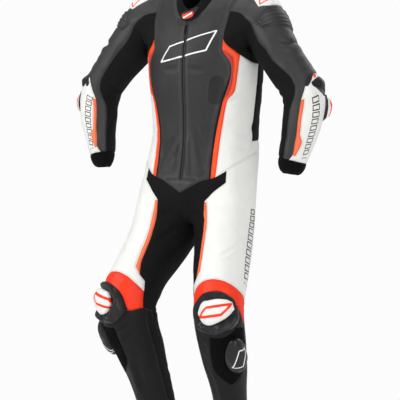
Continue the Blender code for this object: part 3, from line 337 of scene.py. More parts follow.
# ---------------------------------------------------------------- limbs
class Limb:
    """The way through the middle of a limb, and directions round it."""

    def __init__(self, rows):
        keys, rows = np.array([row[0] for row in rows]), np.array(rows)
        self.stations = np.linspace(keys[0], keys[-1], 120)
        centres = np.stack([np.interp(self.stations, keys, rows[:, i]) for i in (1, 2, 3)], axis=1)
        for _ in range(30):
            centres[1:-1] = (centres[:-2] + 2 * centres[1:-1] + centres[2:]) / 4
        turned = np.radians(np.interp(self.stations, keys, rows[:, 4]))
        self.centres = centres
        self.speed = np.linalg.norm(np.gradient(centres, self.stations, axis=0), axis=1)
        self.along = unit(np.gradient(centres, axis=0))
        self.bend = np.gradient(self.along, self.stations, axis=0)
        front = np.stack([np.sin(turned), -np.cos(turned), 0 * turned], axis=1)
        self.front = unit(front - self.along * (front * self.along).sum(1)[:, None])
        self.out = np.cross(self.front, self.along)

    def at(self, stations, *tables):
        """Each table's rows at some stations."""
        rows = np.interp(stations, self.stations, np.arange(len(self.stations)))
        low = np.minimum(rows.astype(int), len(self.stations) - 2)
        t = rows - low
        return [(table[low].T * (1 - t) + table[low + 1].T * t).T for table in tables]

    def flat(self, points):
        """(around, station, radius) of points on the left side."""
        nearest = np.empty(len(points), int)
        for start in range(0, len(points), 20000):
            part = points[start:start + 20000]
            gaps = ((part[:, None, :] - self.centres[None]) ** 2).sum(2)
            nearest[start:start + 20000] = gaps.argmin(1)
        stations = self.stations[nearest]
        for _ in range(5):
            middle, along, bend, speed = self.at(stations, self.centres, self.along, self.bend, self.speed)
            offset = points - middle
            ahead = (offset * along).sum(1) / np.maximum(speed - (offset * bend).sum(1), 0.35)
            stations = np.clip(stations + ahead, self.stations[0], self.stations[-1])
        middle, along, front, out = self.at(stations, self.centres, self.along, self.front, self.out)
        offset = points - middle
        side, forward = (offset * out).sum(1), (offset * front).sum(1)
        around = np.degrees(np.arctan2(side, forward)) % 360
        return around, stations + (offset * along).sum(1), np.hypot(side, forward)

    def ray(self, around, station):
        """(middle, direction) at a place round the limb."""
        middle, front, out = [rows[0] for rows in self.at(np.array([station]), self.centres, self.front, self.out)]
        return middle, unit(front * cos(radians(around)) + out * sin(radians(around)))


LIMBS = {"body": Limb(BODY_WAY), "arm": Limb(ARM_WAY), "leg": Limb(LEG_WAY)}


# ---------------------------------------------------------------- the cloth's surface
def outer_wall(node, kind):
    """(points, triangles) of the outer face of a cloth solid, found by which way its patches look."""
    points, faces = corners(node)
    limb = LIMBS[PANELS[kind][1]]
    mirror = MIRROR if node.endswith("_R") else 1.0
    patch = patches(points, faces, PATCH_BEND)
    normals = face_normals(points, faces)
    middles = points[faces].mean(1) * mirror
    nearest = ((middles[:, None, :] - limb.centres[None]) ** 2).sum(2).argmin(1)
    outward = unit(middles - limb.centres[nearest]) * mirror
    facing = (normals * outward).sum(1)
    areas = np.bincount(patch, np.linalg.norm(normals, axis=1))
    looks = np.bincount(patch, facing) / areas
    if kind == "accordion":      # its ribs would split the outer face, so the inner one stands in
        keep = (patch == np.where(looks < 0, areas, 0).argmax())
        base, inner, _ = compact(points, faces[keep])
        return base - point_normals(base, inner) * 0.002, inner[:, ::-1]
    outer, inner = {int(np.where(looks > 0, areas, 0).argmax())}, {int(np.where(looks < 0, areas, 0).argmax())}
    beside = neighbours(faces, patch)
    for _ in range(3):      # past a crease the face goes on, and a patch that touches both faces is an edge wall
        found = [(i, bool(beside[i] & outer), bool(beside[i] & inner)) for i in range(len(areas))
                 if i not in outer | inner and areas[i] > 0.01 * areas.max()]
        outer |= {i for i, near, far in found if near and not far}
        inner |= {i for i, near, far in found if far and not near}
    return compact(points, faces[np.isin(patch, list(outer))])[:2]


class Cloth:
    """All cut pieces as one surface, sewn edge to edge, refined and folded; each piece is cut out of it again."""

    def __init__(self):
        self.names, points, faces, labels, count = [], [], [], [], 0
        for kind in PANELS:
            for node in node_names(kind):
                p, f = outer_wall(node, kind)
                labels.append(np.full(len(f), len(self.names)))
                self.names.append(node)
                points.append(p)
                faces.append(f + count)
                count += len(p)
        self.points, self.faces, self.label = np.concatenate(points), np.concatenate(faces), np.concatenate(labels)
        self.sew(SEAM_REACH)
        self.close_slits()

    def sew(self, reach):
        """Joins the pieces' edges across the seam gaps."""
        edges, _, counts = edges_of(self.faces)
        rim = np.unique(edges[counts == 1])
        tree = point_tree(self.points[rim], rim)
        target = np.arange(len(self.points))
        for i in rim:
            if target[i] == i:
                for _, j, _ in tree.find_range(self.points[i], reach):
                    if target[j] == j and j != i:
                        target[j] = i
        groups = np.bincount(target, minlength=len(self.points))
        places = np.stack([np.bincount(target, self.points[:, k], len(self.points)) for k in range(3)], axis=1)
        self.points = places / np.maximum(groups, 1)[:, None]
        faces = target[self.faces]
        whole = (faces[:, 0] != faces[:, 1]) & (faces[:, 1] != faces[:, 2]) & (faces[:, 2] != faces[:, 0])
        self.label = self.label[whole]
        self.points, self.faces, _ = compact(self.points, faces[whole])

    def close_slits(self):
        """Fills the long narrow holes that are left where several pieces meet."""
        sides = np.concatenate([self.faces[:, [1, 0]], self.faces[:, [2, 1]], self.faces[:, [0, 2]]]).tolist()
        known = {tuple(side) for side in sides}
        after = {a: (b, label) for (a, b), label in zip(sides, np.tile(self.label, 3).tolist())
                 if (b, a) not in known}
        while after:
            loop = [next(iter(after))]
            goes, label = after.pop(loop[0])
            while goes in after:
                loop.append(goes)
                goes = after.pop(goes)[0]
            offset = self.points[loop] - self.points[loop].mean(0)
            size = np.ptp(offset @ np.linalg.svd(offset, full_matrices=False)[2].T, axis=0)
            if goes == loop[0] and SLIT_WIDTH < size[1] < SLIT_SHAPE * size[0]:
                filling = np.array(loop)[bridge(offset)]
                self.faces = np.concatenate([self.faces, filling])
                self.label = np.concatenate([self.label, np.full(len(filling), label)])

    def seams(self, edges, index):
        """Which edges lie between two pieces or on a hem."""
        low, high = np.full(len(edges), 10 ** 6), np.full(len(edges), -1)
        counts = np.bincount(index.ravel(), minlength=len(edges))
        for k in range(3):
            np.minimum.at(low, index[:, k], self.label)
            np.maximum.at(high, index[:, k], self.label)
        return (low != high) | (counts == 1)

    def refine(self):
        """One finer level; every new point lies on a smooth curve over its edge."""
        edges, index, _ = edges_of(self.faces)
        seam = self.seams(edges, index)
        normals = point_normals(self.points, self.faces)
        middles = smooth_middles(self.points, normals, edges, seam)
        count = len(self.points)
        m = index + count
        f = self.faces
        self.faces = np.concatenate([
            np.stack([f[:, 0], m[:, 0], m[:, 2]], 1), np.stack([f[:, 1], m[:, 1], m[:, 0]], 1),
            np.stack([f[:, 2], m[:, 2], m[:, 1]], 1), m,
        ])
        self.label = np.tile(self.label, 4)
        self.points = np.concatenate([self.points, middles])


def bridge(points):
    """The triangles of least area that close a loop of points."""
    count = len(points)
    cost, between = np.zeros((count, count)), np.zeros((count, count), int)
    for gap in range(2, count):
        for i in range(count - gap):
            k, j = i + gap, np.arange(i + 1, i + gap)
            total = cost[i, j] + cost[j, k] + np.linalg.norm(np.cross(points[j] - points[i], points[k] - points[i]),
                                                             axis=1)
            cost[i, k], between[i, k] = total.min(), j[total.argmin()]
    triangles, spans = [], [(0, count - 1)]
    while spans:
        i, k = spans.pop()
        if k - i > 1:
            j = between[i, k]
            triangles.append((i, j, k))
            spans += [(i, j), (j, k)]
    return np.array(triangles)


def smooth_middles(points, normals, edges, seam):
    """Middle of each edge, on the smooth surface; a seam's edges follow the seam's own curve."""
    a, b = edges[:, 0], edges[:, 1]
    across = points[b] - points[a]
    lean = normals[b] * (across * normals[b]).sum(1)[:, None] - normals[a] * (across * normals[a]).sum(1)[:, None]
    middles = (points[a] + points[b]) / 2 + lean / 8
    ends = {}
    for i in np.flatnonzero(seam):
        for here, there in (edges[i], edges[i][::-1]):
            ends.setdefault(int(here), []).append(int(there))
    for i in np.flatnonzero(seam):
        pulls = []
        for here, there in (edges[i], edges[i][::-1]):
            step = points[there] - points[here]
            length = np.linalg.norm(step)
            best, turn = None, -0.77
            for other in ends[int(here)]:
                if other != there:
                    back = points[other] - points[here]
                    straight = step @ back / max(length * np.linalg.norm(back), 1e-12)
                    if straight < turn:
                        best, turn = back, straight
            way = step / length if best is None else unit(step / length - best / np.linalg.norm(best))
            pulls.append(way * length)
        middles[i] = (points[edges[i][0]] + points[edges[i][1]]) / 2 + (pulls[0] + pulls[1]) / 8
    return middles


class SuitCloth(Cloth):
    """The finished cloth: refined, its seams measured, and its folds laid in."""

    def __init__(self, sizes):
        super().__init__()
        for _ in range(3):
            self.refine()
        self.normals = point_normals(self.points, self.faces)
        self.base = self.points.copy()
        self.base_tree = BVHTree.FromPolygons(self.base.tolist(), self.faces.tolist())
        self.limb_of = np.array([self.limb_key(name) for name in self.names])
        self.trees = {}
        self.measure_seams()
        self.measure_limbs()
        self.lay_folds(sizes)
        self.points = self.base + self.normals * self.rise[:, None]
        self.normals = point_normals(self.points, self.faces)
        self.tree = BVHTree.FromPolygons(self.points.tolist(), self.faces.tolist())

    def limb_key(self, name):
        kind = name if name in SINGLE else name[:-2]
        limb = PANELS[kind][1]
        return limb if limb == "body" else limb + "_" + name[-1]

    def measure_seams(self):
        """Distance of every point from the nearest seam, and how far along that seam it is."""
        edges, index, _ = edges_of(self.faces)
        seam = self.seams(edges, index)
        ends = {}
        for a, b in edges[seam]:
            ends.setdefault(int(a), []).append(int(b))
            ends.setdefault(int(b), []).append(int(a))
        place, done = {}, set()
        starts = sorted(i for i in ends if len(ends[i]) != 2) + sorted(ends)
        tree_points, tree_along = [], []
        for start in starts:
            for first in ends[start]:
                if (start, first) in done:
                    continue
                length, here, there = 0.0, start, first
                while True:
                    done.update({(here, there), (there, here)})
                    step = self.points[there] - self.points[here]
                    size = float(np.linalg.norm(step))
                    for k in range(6):
                        tree_points.append(self.points[here] + step * k / 6)
                        tree_along.append(length + size * k / 6)
                    length += size
                    place[there] = length
                    onward = [i for i in ends[there] if i != here and (there, i) not in done]
                    if len(ends[there]) != 2 or not onward:
                        break
                    here, there = there, onward[0]
        tree = point_tree(tree_points)
        found = [tree.find(point) for point in self.points]
        self.seam = np.array([gap for _, _, gap in found])
        self.seam[list(ends)] = 0.0
        self.along = np.array([tree_along[i] for _, i, _ in found])

    def measure_limbs(self):
        """Direction round its own limb and station of every point."""
        self.around, self.station = np.zeros(len(self.points)), np.zeros(len(self.points))
        self.radius = np.zeros(len(self.points))
        for key in ("body", "arm_L", "arm_R", "leg_L", "leg_R"):
            own = np.unique(self.faces[self.limb_of[self.label] == key])
            points = self.points[own] * (MIRROR if key.endswith("_R") else 1.0)
            values = LIMBS[key.split("_")[0]].flat(points)
            self.around[own], self.station[own], self.radius[own] = values

    def on(self, key, around, station):
        """(place, normal) where a ray from the middle of a limb meets the cloth."""
        if key not in self.trees:
            faces = self.faces[self.limb_of[self.label] == key]
            self.trees[key] = BVHTree.FromPolygons(self.base.tolist(), faces.tolist())
        middle, way = LIMBS[key.split("_")[0]].ray(around, station)
        mirror = MIRROR if key.endswith("_R") else 1.0
        place, normal, _, _ = self.trees[key].ray_cast(Vector(middle * mirror), Vector(way * mirror))
        if place is None:
            place, normal, _, _ = self.trees[key].find_nearest(Vector((middle + way * 0.1) * mirror))
        return np.array(place), np.array(normal)

    def way_on(self, key, way, step=0.004):
        """Points about one step apart along a smooth line over a limb, with their normals."""
        knots = np.array([self.on(key, a, s)[0] for a, s in way])
        lengths = np.concatenate([[0], np.cumsum(np.linalg.norm(np.diff(knots, axis=0), axis=1))])
        slopes = np.gradient(knots, lengths, axis=0)
        result = []
        for s in np.linspace(0, lengths[-1], max(2, ceil(lengths[-1] / step))):
            i = int(np.clip(np.searchsorted(lengths, s) - 1, 0, len(knots) - 2))
            span = lengths[i + 1] - lengths[i]
            t = (s - lengths[i]) / span
            result.append((1 + 2 * t) * (1 - t) ** 2 * knots[i] + t * t * (3 - 2 * t) * knots[i + 1]
                          + t * (1 - t) ** 2 * span * slopes[i] - t * t * (1 - t) * span * slopes[i + 1])
        hits = [self.base_tree.find_nearest(Vector(p)) for p in result]
        return np.array([h[0][:] for h in hits]), np.array([h[1][:] for h in hits])

    def fold(self, key, way, width, depth):
        """A trough along a way, with soft shoulders, that dies out at its ends; a ridge if depth is below 0."""
        line, up = self.way_on(key, way)
        reach = 3.2 * width
        near = ((self.base > line.min(0) - reach) & (self.base < line.max(0) + reach)).all(1)
        near = np.flatnonzero(near)
        if not len(near):
            return
        gaps = np.linalg.norm(self.base[near][:, None, :] - line[None], axis=2)
        nearest = gaps.argmin(1)
        x = gaps[np.arange(len(near)), nearest] / width
        facing = (self.normals[near] * up[nearest]).sum(1)
        t = nearest / max(len(line) - 1, 1)
        fade = ease(np.minimum(t, 1 - t), -0.02, 0.30)
        shape = (1 - 0.75 * x * x) * np.exp(-x * x / 1.6)
        self.rise[near] -= depth * shape * fade * ease(facing, 0.1, 0.5)

    def lay_folds(self, sizes):
        self.rise = np.zeros(len(self.points))
        for limb, sides, width, depth, way in FOLDS:
            for side in sides:
                key = limb if limb == "body" else f"{limb}_{side}"
                turn = -1 if key == "body" and side == "R" else 1
                self.fold(key, [(turn * a, s) for a, s in way], width, depth * sizes.fold_depth)
        d = self.seam
        self.rise += sizes.puff * (1 - np.exp(-d / 0.014))
        self.rise -= sizes.seam_depth * np.exp(-(d / 0.0025) ** 2)
        waves = np.array([noise.noise(Vector(p * 14)) for p in self.base])
        small = np.array([noise.noise(Vector(p * 75)) for p in self.base])
        self.rise += 0.0016 * waves * ease(d, 0.0, 0.02) + 0.0007 * small * np.exp(-d / 0.02)
        ribbed = np.zeros(len(self.points), bool)
        for i, name in enumerate(self.names):
            if name.startswith("accordion"):
                ribbed[np.unique(self.faces[self.label == i])] = True
        ribs = np.abs(np.sin(pi * (0.147 - self.station) / sizes.rib_pitch)) ** 0.8
        self.rise += np.where(ribbed, sizes.rib_height * ribs * ease(d, 0.0, 0.006), 0.0)
        self.press()
        roll = np.clip((self.station - ROLL_START) / ROLL_LENGTH, 0, 1)
        cuffs = np.zeros(len(self.points), bool)
        for i, name in enumerate(self.names):
            if name.startswith("cuff"):
                cuffs[np.unique(self.faces[self.label == i])] = True
        self.rise -= np.where(cuffs, ROLL_DEPTH * (1 - np.sqrt(np.maximum(1 - roll * roll, 0))), 0.0)

    def press(self):
        """Keeps the cloth flat under the moulded pieces."""
        for kind in HARD:
            for node in node_names(kind):
                points, faces = corners(node)
                tree = BVHTree.FromPolygons(points.tolist(), faces.tolist())
                near = ((self.base > points.min(0) - 0.02) & (self.base < points.max(0) + 0.02)).all(1)
                for i in np.flatnonzero(near):
                    gap = tree.find_nearest(Vector(self.base[i]))[3]
                    if gap < PRESSED + PRESS_FADE:
                        share = min(1.0, max(0.0, (gap - PRESSED) / PRESS_FADE))
                        flat = min(self.rise[i], 0.0) * 0.5
                        self.rise[i] = flat + share * (self.rise[i] - flat)

    def cut(self, node):
        """(base points' indices, triangles) of one piece."""
        faces = self.faces[self.label == self.names.index(node)]
        return np.unique(faces, return_inverse=True)[0], faces


_cloth = {}


def cloth():
    if "suit" not in _cloth:
        _cloth["suit"] = SuitCloth(bpy.context.scene.suit_sizes)
    return _cloth["suit"]


# ---------------------------------------------------------------- meshes
def new_object(name, points, faces, values=None, materials=()):
    """A mesh object; values are attributes by name, one number for each point."""
    mesh = bpy.data.meshes.new(name)
    mesh.vertices.add(len(points))
    mesh.vertices.foreach_set("co", np.asarray(points, np.float32).ravel())
    mesh.loops.add(3 * len(faces))
    mesh.loops.foreach_set("vertex_index", np.asarray(faces, np.int32).ravel())
    mesh.polygons.add(len(faces))
    mesh.polygons.foreach_set("loop_start", np.arange(0, 3 * len(faces), 3, dtype=np.int32))
    for key, numbers in (values or {}).items():
        attribute = mesh.attributes.new(key, "FLOAT", "POINT")
        attribute.data.foreach_set("value", np.asarray(numbers, np.float32))
    mesh.update(calc_edges=True)
    for material in materials:
        mesh.materials.append(material)
    obj = bpy.data.objects.new(name, mesh)
    bpy.context.scene.collection.objects.link(obj)
    return obj


def alone(obj):
    """Makes obj the only selected and active object."""
    for other in list(bpy.context.selected_objects):
        other.select_set(False)
    obj.select_set(True)
    bpy.context.view_layer.objects.active = obj


def smooth(obj, angle=50):
    alone(obj)
    bpy.ops.object.shade_smooth_by_angle(angle=radians(angle))


def keep(obj, slot, *nodes):
    """Puts a finished piece on the suit."""
    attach(obj, "root")
    if nodes:
        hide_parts(*nodes)
    return obj


def shell(points, normals, faces, thickness):
    """(points, triangles, how many of them are the outer face) of a closed thin wall under a surface."""
    count = len(points)
    sides = np.concatenate([faces[:, [0, 1]], faces[:, [1, 2]], faces[:, [2, 0]]])
    known = {tuple(side) for side in sides.tolist()}
    rim = np.array([side for side in known if (side[1], side[0]) not in known])
    rim = rim[np.lexsort((rim[:, 1], rim[:, 0]))]
    a, b = rim[:, 0], rim[:, 1]
    walls = np.concatenate([np.stack([a, a + count, b], 1), np.stack([b, a + count, b + count], 1)])
    everything = np.concatenate([faces, faces[:, ::-1] + count, walls])
    return np.concatenate([points, points - normals * thickness]), everything, len(faces)


def cloth_piece(kind, node):
    """One cut piece as a thin closed wall with its seam distances."""
    suit, sizes = cloth(), bpy.context.scene.suit_sizes
    slot, _, width, length, area, finish = PANELS[kind]
    used, faces = suit.cut(node)
    back = np.zeros(len(suit.points), int)
    back[used] = np.arange(len(used))
    faces = back[faces]
    points, normals = suit.points[used], suit.normals[used]
    values = {"seam": suit.seam[used], "along": suit.along[used], **inks(kind, node[-1], suit.base[used])}
    walls, all_faces, outer = shell(points, normals, faces, sizes.wall)
    values = {key: np.concatenate([numbers, numbers]) for key, numbers in values.items()}
    obj = new_object(node + "_cloth", walls, all_faces, values, [material(finish), material("lining")])
    inside = np.zeros(len(all_faces), np.int32)
    inside[outer:outer + len(faces)] = 1
    obj.data.polygons.foreach_set("material_index", inside)
    smooth(obj, 60)
    keep(obj, slot, node)
    return obj


def distance_to(points, ways, closed):
    """Distance on the flat from points to some open or closed ways."""
    starts, ends = [], []
    for way in ways:
        way = [np.array(p, float) for p in way]
        last = len(way) if closed else len(way) - 1
        starts += way[:last]
        ends += [way[(i + 1) % len(way)] for i in range(last)]
    starts, ends = np.array(starts), np.array(ends)
    sides = ends - starts
    squares = np.maximum((sides * sides).sum(1), 1e-12)
    result = np.full(len(points), 1e9)
    for start, side, square in zip(starts, sides, squares):
        offset = points - start
        t = np.clip((offset @ side) / square, 0, 1)
        result = np.minimum(result, np.linalg.norm(offset - t[:, None] * side, axis=1))
    return result


def inks(kind, side, points):
    """Distance of each point from the edge of the piece's plain marks, for each of its two inks; on the left front
    panel one stroke of the second ink is painted shade.
    """
    result = {"ink_a": np.full(len(points), 0.05), "ink_b": np.full(len(points), 0.05)}
    limb = {**{k: row[1] for k, row in PANELS.items()}, **HARD_LIMBS}[kind]
    if kind not in (*MARKS, *BOXES) or (kind, side) in BARE:
        return result
    around, station, _ = LIMBS[limb].flat(points * (MIRROR if side == "R" and limb != "body" else 1.0))
    turning = ease(station, 0.20, 0.36) if limb == "arm" else 0.0
    box_around = (around - BOX_TURNS.get(side, 0) * turning + 120) % 360 - 120
    around = (around - MARK_TURNS.get((kind, side), MARK_TURNS.get(side, 0)) * turning + 120) % 360 - 120
    if kind in BOXES:
        count, first, pitch, near, far, width = BOXES[kind]
        steps = (station - first) / pitch
        result["box_across"] = (box_around - near - (far - near) * np.clip(steps / count, 0, 1)) / width
        result["box_along"] = np.where((steps > -0.5) & (steps < count + 0.5), steps, -0.5)
    flat = np.stack([around * MARK_SCALE[limb], station], 1)
    for ink, half, closed, way in MARKS.get(kind, ()):
        gap = distance_to(flat, [[(a * MARK_SCALE[limb], s) for a, s in way]], closed) - half
        result["ink_" + ink] = np.minimum(result["ink_" + ink], gap)
    return result


# ---------------------------------------------------------------- moulded pieces
def moulded_piece(node, slot, finish, rounding, levels=3, sink=0.0003):
    """A hard piece on the cloth: its top refined and rounded over at its edge, and its foot set on the cloth."""
    suit = cloth()
    points, faces = corners(node)
    middles = points[faces].mean(1)
    normals = unit(face_normals(points, faces))
    ground = np.array([suit.base_tree.find_nearest(Vector(m))[1][:] for m in middles])
    top = (normals * ground).sum(1) > 0.3
    points, faces, _ = compact(points, faces[top])
    part = Cloth.__new__(Cloth)
    part.points, part.faces, part.label = points, faces, np.zeros(len(faces), int)
    for _ in range(levels):
        part.refine()
    points, faces = part.points, part.faces
    edges, _, counts = edges_of(faces)
    rim = edges[counts == 1]
    spots = [points[a] + (points[b] - points[a]) * k / 4 for a, b in rim for k in range(4)]
    tree = point_tree(spots)
    gap = np.array([tree.find(p)[2] for p in points])
    gap[np.unique(rim)] = 0.0
    hits = [suit.base_tree.find_nearest(Vector(p)) for p in points]
    ground = np.array([h[0][:] for h in hits])
    up = unit(points - ground)
    height = np.linalg.norm(points - ground, axis=1)
    t = np.clip(gap / rounding, 0, 1)
    drop = np.minimum(rounding * (1 - np.sqrt(1 - (1 - t) ** 2)), 0.7 * height)
    top_points = points - up * drop[:, None]
    feet = [suit.tree.find_nearest(Vector(p)) for p in ground]
    low = np.array([f[0][:] for f in feet]) + np.array([f[1][:] for f in feet]) * sink
    count = len(points)
    known = {tuple(s) for s in np.concatenate([faces[:, [0, 1]], faces[:, [1, 2]], faces[:, [2, 0]]]).tolist()}
    edge = np.array(sorted(side for side in known if (side[1], side[0]) not in known))
    a, b = edge[:, 0], edge[:, 1]
    walls = np.concatenate([np.stack([a, a + count, b], 1), np.stack([b, a + count, b + count], 1)])
    everything = np.concatenate([faces, faces[:, ::-1] + count, walls])
    kind = node if node in SINGLE else node[:-2]
    values = {"rim": gap, **inks(kind, node[-1], points)}
    values = {key: np.concatenate([numbers, numbers]) for key, numbers in values.items()}
    obj = new_object(node + "_piece", np.concatenate([top_points, low]), everything, values, [material(finish)])
    smooth(obj, 45)
    return keep(obj, slot, node)


# ---------------------------------------------------------------- shader maths
class Socket:
    """An output of a material's nodes; arithmetic on it adds Math nodes."""

    def __init__(self, finish, socket):
        self.finish, self.socket = finish, socket

    def math(self, operation, *others):
        return self.finish.node("ShaderNodeMath", {"operation": operation}, self, *others)

    def flipped(self, operation, other):
        return self.finish.node("ShaderNodeMath", {"operation": operation}, other, self)

    def __add__(self, other):
        return self.math("ADD", other)

    def __sub__(self, other):
        return self.math("SUBTRACT", other)

    def __mul__(self, other):
        return self.math("MULTIPLY", other)

    def __truediv__(self, other):
        return self.math("DIVIDE", other)

    def __pow__(self, other):
        return self.math("POWER", other)

    def __mod__(self, other):
        return self.math("FLOORED_MODULO", other)

    def __lt__(self, other):
        return self.math("LESS_THAN", other)

    def __gt__(self, other):
        return self.math("GREATER_THAN", other)

    def __rsub__(self, other):
        return self.flipped("SUBTRACT", other)

    def __rtruediv__(self, other):
        return self.flipped("DIVIDE", other)

    def __abs__(self):
        return self.math("ABSOLUTE")

    __radd__ = __add__
    __rmul__ = __mul__

    def step(self, low, high):
        """0 at low and 1 at high, with a smooth rise between."""
        settings = {"interpolation_type": "SMOOTHSTEP"}
        return self.finish.node("ShaderNodeMapRange", settings, self, low, high, 0.0, 1.0)


class Finish:
    """A material and the nodes that make it."""

    def __init__(self, name, roughness=0.5, metallic=0.0, **fixed):
        self.material = bpy.data.materials.new(name)
        self.material.use_nodes = True
        self.nodes, self.links = self.material.node_tree.nodes, self.material.node_tree.links
        self.shader = self.nodes["Principled BSDF"]
        self.set("Roughness", roughness)
        self.set("Metallic", metallic)
        for key, value in fixed.items():
            self.set(key.replace("_", " "), value)

    def plug(self, socket, value):
        if isinstance(value, Socket):
            self.links.new(value.socket, socket)
        elif isinstance(value, (tuple, list)) and len(value) == 3 and socket.type == "RGBA":
            socket.default_value = (*value, 1.0)
        else:
            socket.default_value = value

    def set(self, name, value):
        self.plug(self.shader.inputs[name], value)

    def node(self, kind, settings=None, *values, output=0, **named):
        node = self.nodes.new(kind)
        for key, value in (settings or {}).items():
            setattr(node, key, value)
        for socket, value in zip(node.inputs, values):
            self.plug(socket, value)
        for key, value in named.items():
            self.plug(node.inputs[key], value)
        return Socket(self, node.outputs[output])

    def value(self, name):
        return self.node("ShaderNodeAttribute", {"attribute_name": name}, output="Fac")

    def place(self):
        return self.node("ShaderNodeTexCoord", output="Object")

    def axes(self, vector):
        node = self.nodes.new("ShaderNodeSeparateXYZ")
        self.plug(node.inputs[0], vector)
        return [Socket(self, node.outputs[i]) for i in range(3)]

    def mix(self, factor, low, high):
        node = self.nodes.new("ShaderNodeMix")
        node.data_type = "RGBA"
        for socket, value in ((node.inputs[0], factor), (node.inputs[6], low), (node.inputs[7], high)):
            self.plug(socket, value)
        return Socket(self, node.outputs[2])

    def noise(self, scale, detail=2.0, roughness=0.5):
        return self.node("ShaderNodeTexNoise", None, Vector=self.place(), Scale=scale, Detail=detail,
                         Roughness=roughness)

    def cells(self, scale, feature="F1", randomness=1.0):
        return self.node("ShaderNodeTexVoronoi", {"feature": feature}, Vector=self.place(), Scale=scale,
                         Randomness=randomness, output="Distance")

    def bump(self, height, depth, strength=1.0):
        """Raises the surface by height times depth metres."""
        self.set("Normal", self.node("ShaderNodeBump", None, Strength=strength, Distance=depth, Height=height,
                                     output="Normal"))


def linear(colour):
    """Scene-linear colour of an sRGB colour given as 0 to 1."""
    return tuple(((c + 0.055) / 1.055) ** 2.4 if c > 0.04 else c / 12.92 for c in colour)


def shade(colour, factor):
    return tuple(min(1.0, c * factor) for c in colour)


def stitches(finish, rows=(0.0028,), pitch=0.0034, thick=0.0005):
    """(thread mask, needle-hole mask) of rows of stitching beside every seam."""
    seam, along = finish.value("seam"), finish.value("along")
    dash = abs(along % pitch - pitch / 2) < pitch * 0.36
    thread = None
    for row in rows:
        band = 1.0 - abs(seam - row).step(thick * 0.7, thick * 1.3)
        thread = band * dash if thread is None else thread.math("MAXIMUM", band * dash)
    groove = 1.0 - abs(seam - rows[0]).step(thick, thick * 3.5)
    return thread, groove


def box_outlines(finish, kind):
    """Mask of the outlines of a row of slanting boxes."""
    across, steps = finish.value("box_across"), finish.value("box_along")
    row = steps + across * 0.4
    within = abs(row % 1.0 - 0.5)

    def filled(wide, tall):
        return (1.0 - abs(across).step(wide - 0.01, wide + 0.01)) * (1.0 - within.step(tall - 0.01, tall + 0.01))

    return (filled(0.47, 0.41) - filled(0.36, 0.25)) * (row > 0.001) * (row < BOXES[kind][0])


_finishes = {}


def material(name):
    if name not in _finishes:
        _finishes[name] = FINISHES[name]().material
    return _finishes[name]


def leather(name, colour, thread, roughness=0.5, holes=None, inks_used=(), creased=1.0, shine=0.3,
            boxes=None):
    """Grained leather with stitched edges; holes is the pitch of its perforation."""
    finish = Finish(name, Specular_IOR_Level=shine)
    colour = linear(colour)
    grain = finish.cells(900.0, "SMOOTH_F1")
    fine = finish.noise(260.0, 3.0, 0.6)
    broad = finish.noise(16.0, 3.0, 0.55)
    pale = sum(colour) > 1.5
    low, high = (0.97, 1.02) if pale else (0.88, 1.08)
    tone = finish.mix(broad.step(0.3, 0.75), shade(colour, low), shade(colour, high))
    tone = finish.mix(grain * (0.12 if pale else 0.25), tone, shade(colour, 0.80))
    height = grain * 0.35 + fine * 0.4 * creased
    thread_mask, groove = stitches(finish)
    if holes:
        x, y, z = finish.axes(finish.place())
        row = z / (holes * 0.5)
        shift = (row.math("FLOOR") % 2.0) * 0.5
        across = (x / holes + shift) % 1.0 - 0.5
        up = row % 1.0 - 0.5
        reach = (across * across + up * up * 0.25).math("SQRT")
        clear = finish.value("seam").step(0.012, 0.014)
        hole = (1.0 - reach.step(0.16, 0.22)) * clear
        tone = finish.mix(hole, tone, shade(colour, 0.22))
        height = height - hole * 1.6
    if boxes:
        tone = finish.mix(box_outlines(finish, boxes), tone, linear(INK))
    tone = finish.mix(thread_mask, tone, linear(thread))
    # each ink is mixed into the colour; on the perforated front the second ink also carries a painted shade patch
    for attribute, ink_colour in inks_used:
        ink = 1.0 - finish.value(attribute).step(-0.0006, 0.0006)
        tone = finish.mix(ink, tone, linear(ink_colour))
        height = height + ink * 0.5
    height = height + thread_mask * 1.2 - groove * 0.9
    finish.set("Base Color", tone)
    finish.set("Roughness", fine * 0.22 + (roughness - 0.11))
    finish.bump(height, 0.0006)
    return finish


def woven(name, colour, pitch, roughness=0.85, ribs="z", light=1.5):
    """Stretch cloth: fine ribs run across it, and a knit runs between them."""
    finish = Finish(name, Specular_IOR_Level=0.1)
    colour = linear(colour)
    x, y, z = finish.axes(finish.place())
    run = {"z": z, "x": x + y * 0.6}[ribs]
    other = {"z": x + y * 0.6, "x": z}[ribs]
    rib = (run * (2 * pi / pitch)).math("SINE") * 0.5 + 0.5
    knit = (other * (2 * pi / (pitch * 0.5))).math("SINE") * 0.5 + 0.5
    broad = finish.noise(22.0, 3.0, 0.6)
    tone = finish.mix(rib, shade(colour, 0.6), shade(colour, light))
    tone = finish.mix(broad.step(0.3, 0.8) * 0.35, tone, shade(colour, light * 1.2))
    thread_mask, groove = stitches(finish)
    finish.set("Base Color", finish.mix(thread_mask, tone, shade(colour, 2.2)))
    finish.set("Roughness", broad * 0.1 + (roughness - 0.05))
    finish.bump(rib + knit * 0.4 + thread_mask - groove * 0.6, 0.0007)
    return finish


def covered_tape(name, leather_colour, tape_colour):
    """Zip tape, whose left part from the front lies open beside a narrow leather cover."""
    finish = Finish(name, roughness=0.6, Specular_IOR_Level=0.2)
    x, _, z = finish.axes(finish.place())
    cover = x.step(-0.0004, 0.0002) * (1.0 - x.step(0.0034, 0.0040))
    weave = (z * (2 * pi / 0.0012)).math("SINE") * 0.5 + 0.5
    tape = finish.mix(weave, shade(linear(tape_colour), 0.5), linear(tape_colour))
    finish.set("Base Color", finish.mix(cover, tape, linear(leather_colour)))
    finish.bump(cover * 3.0 + weave * 0.3, 0.0005)
    return finish


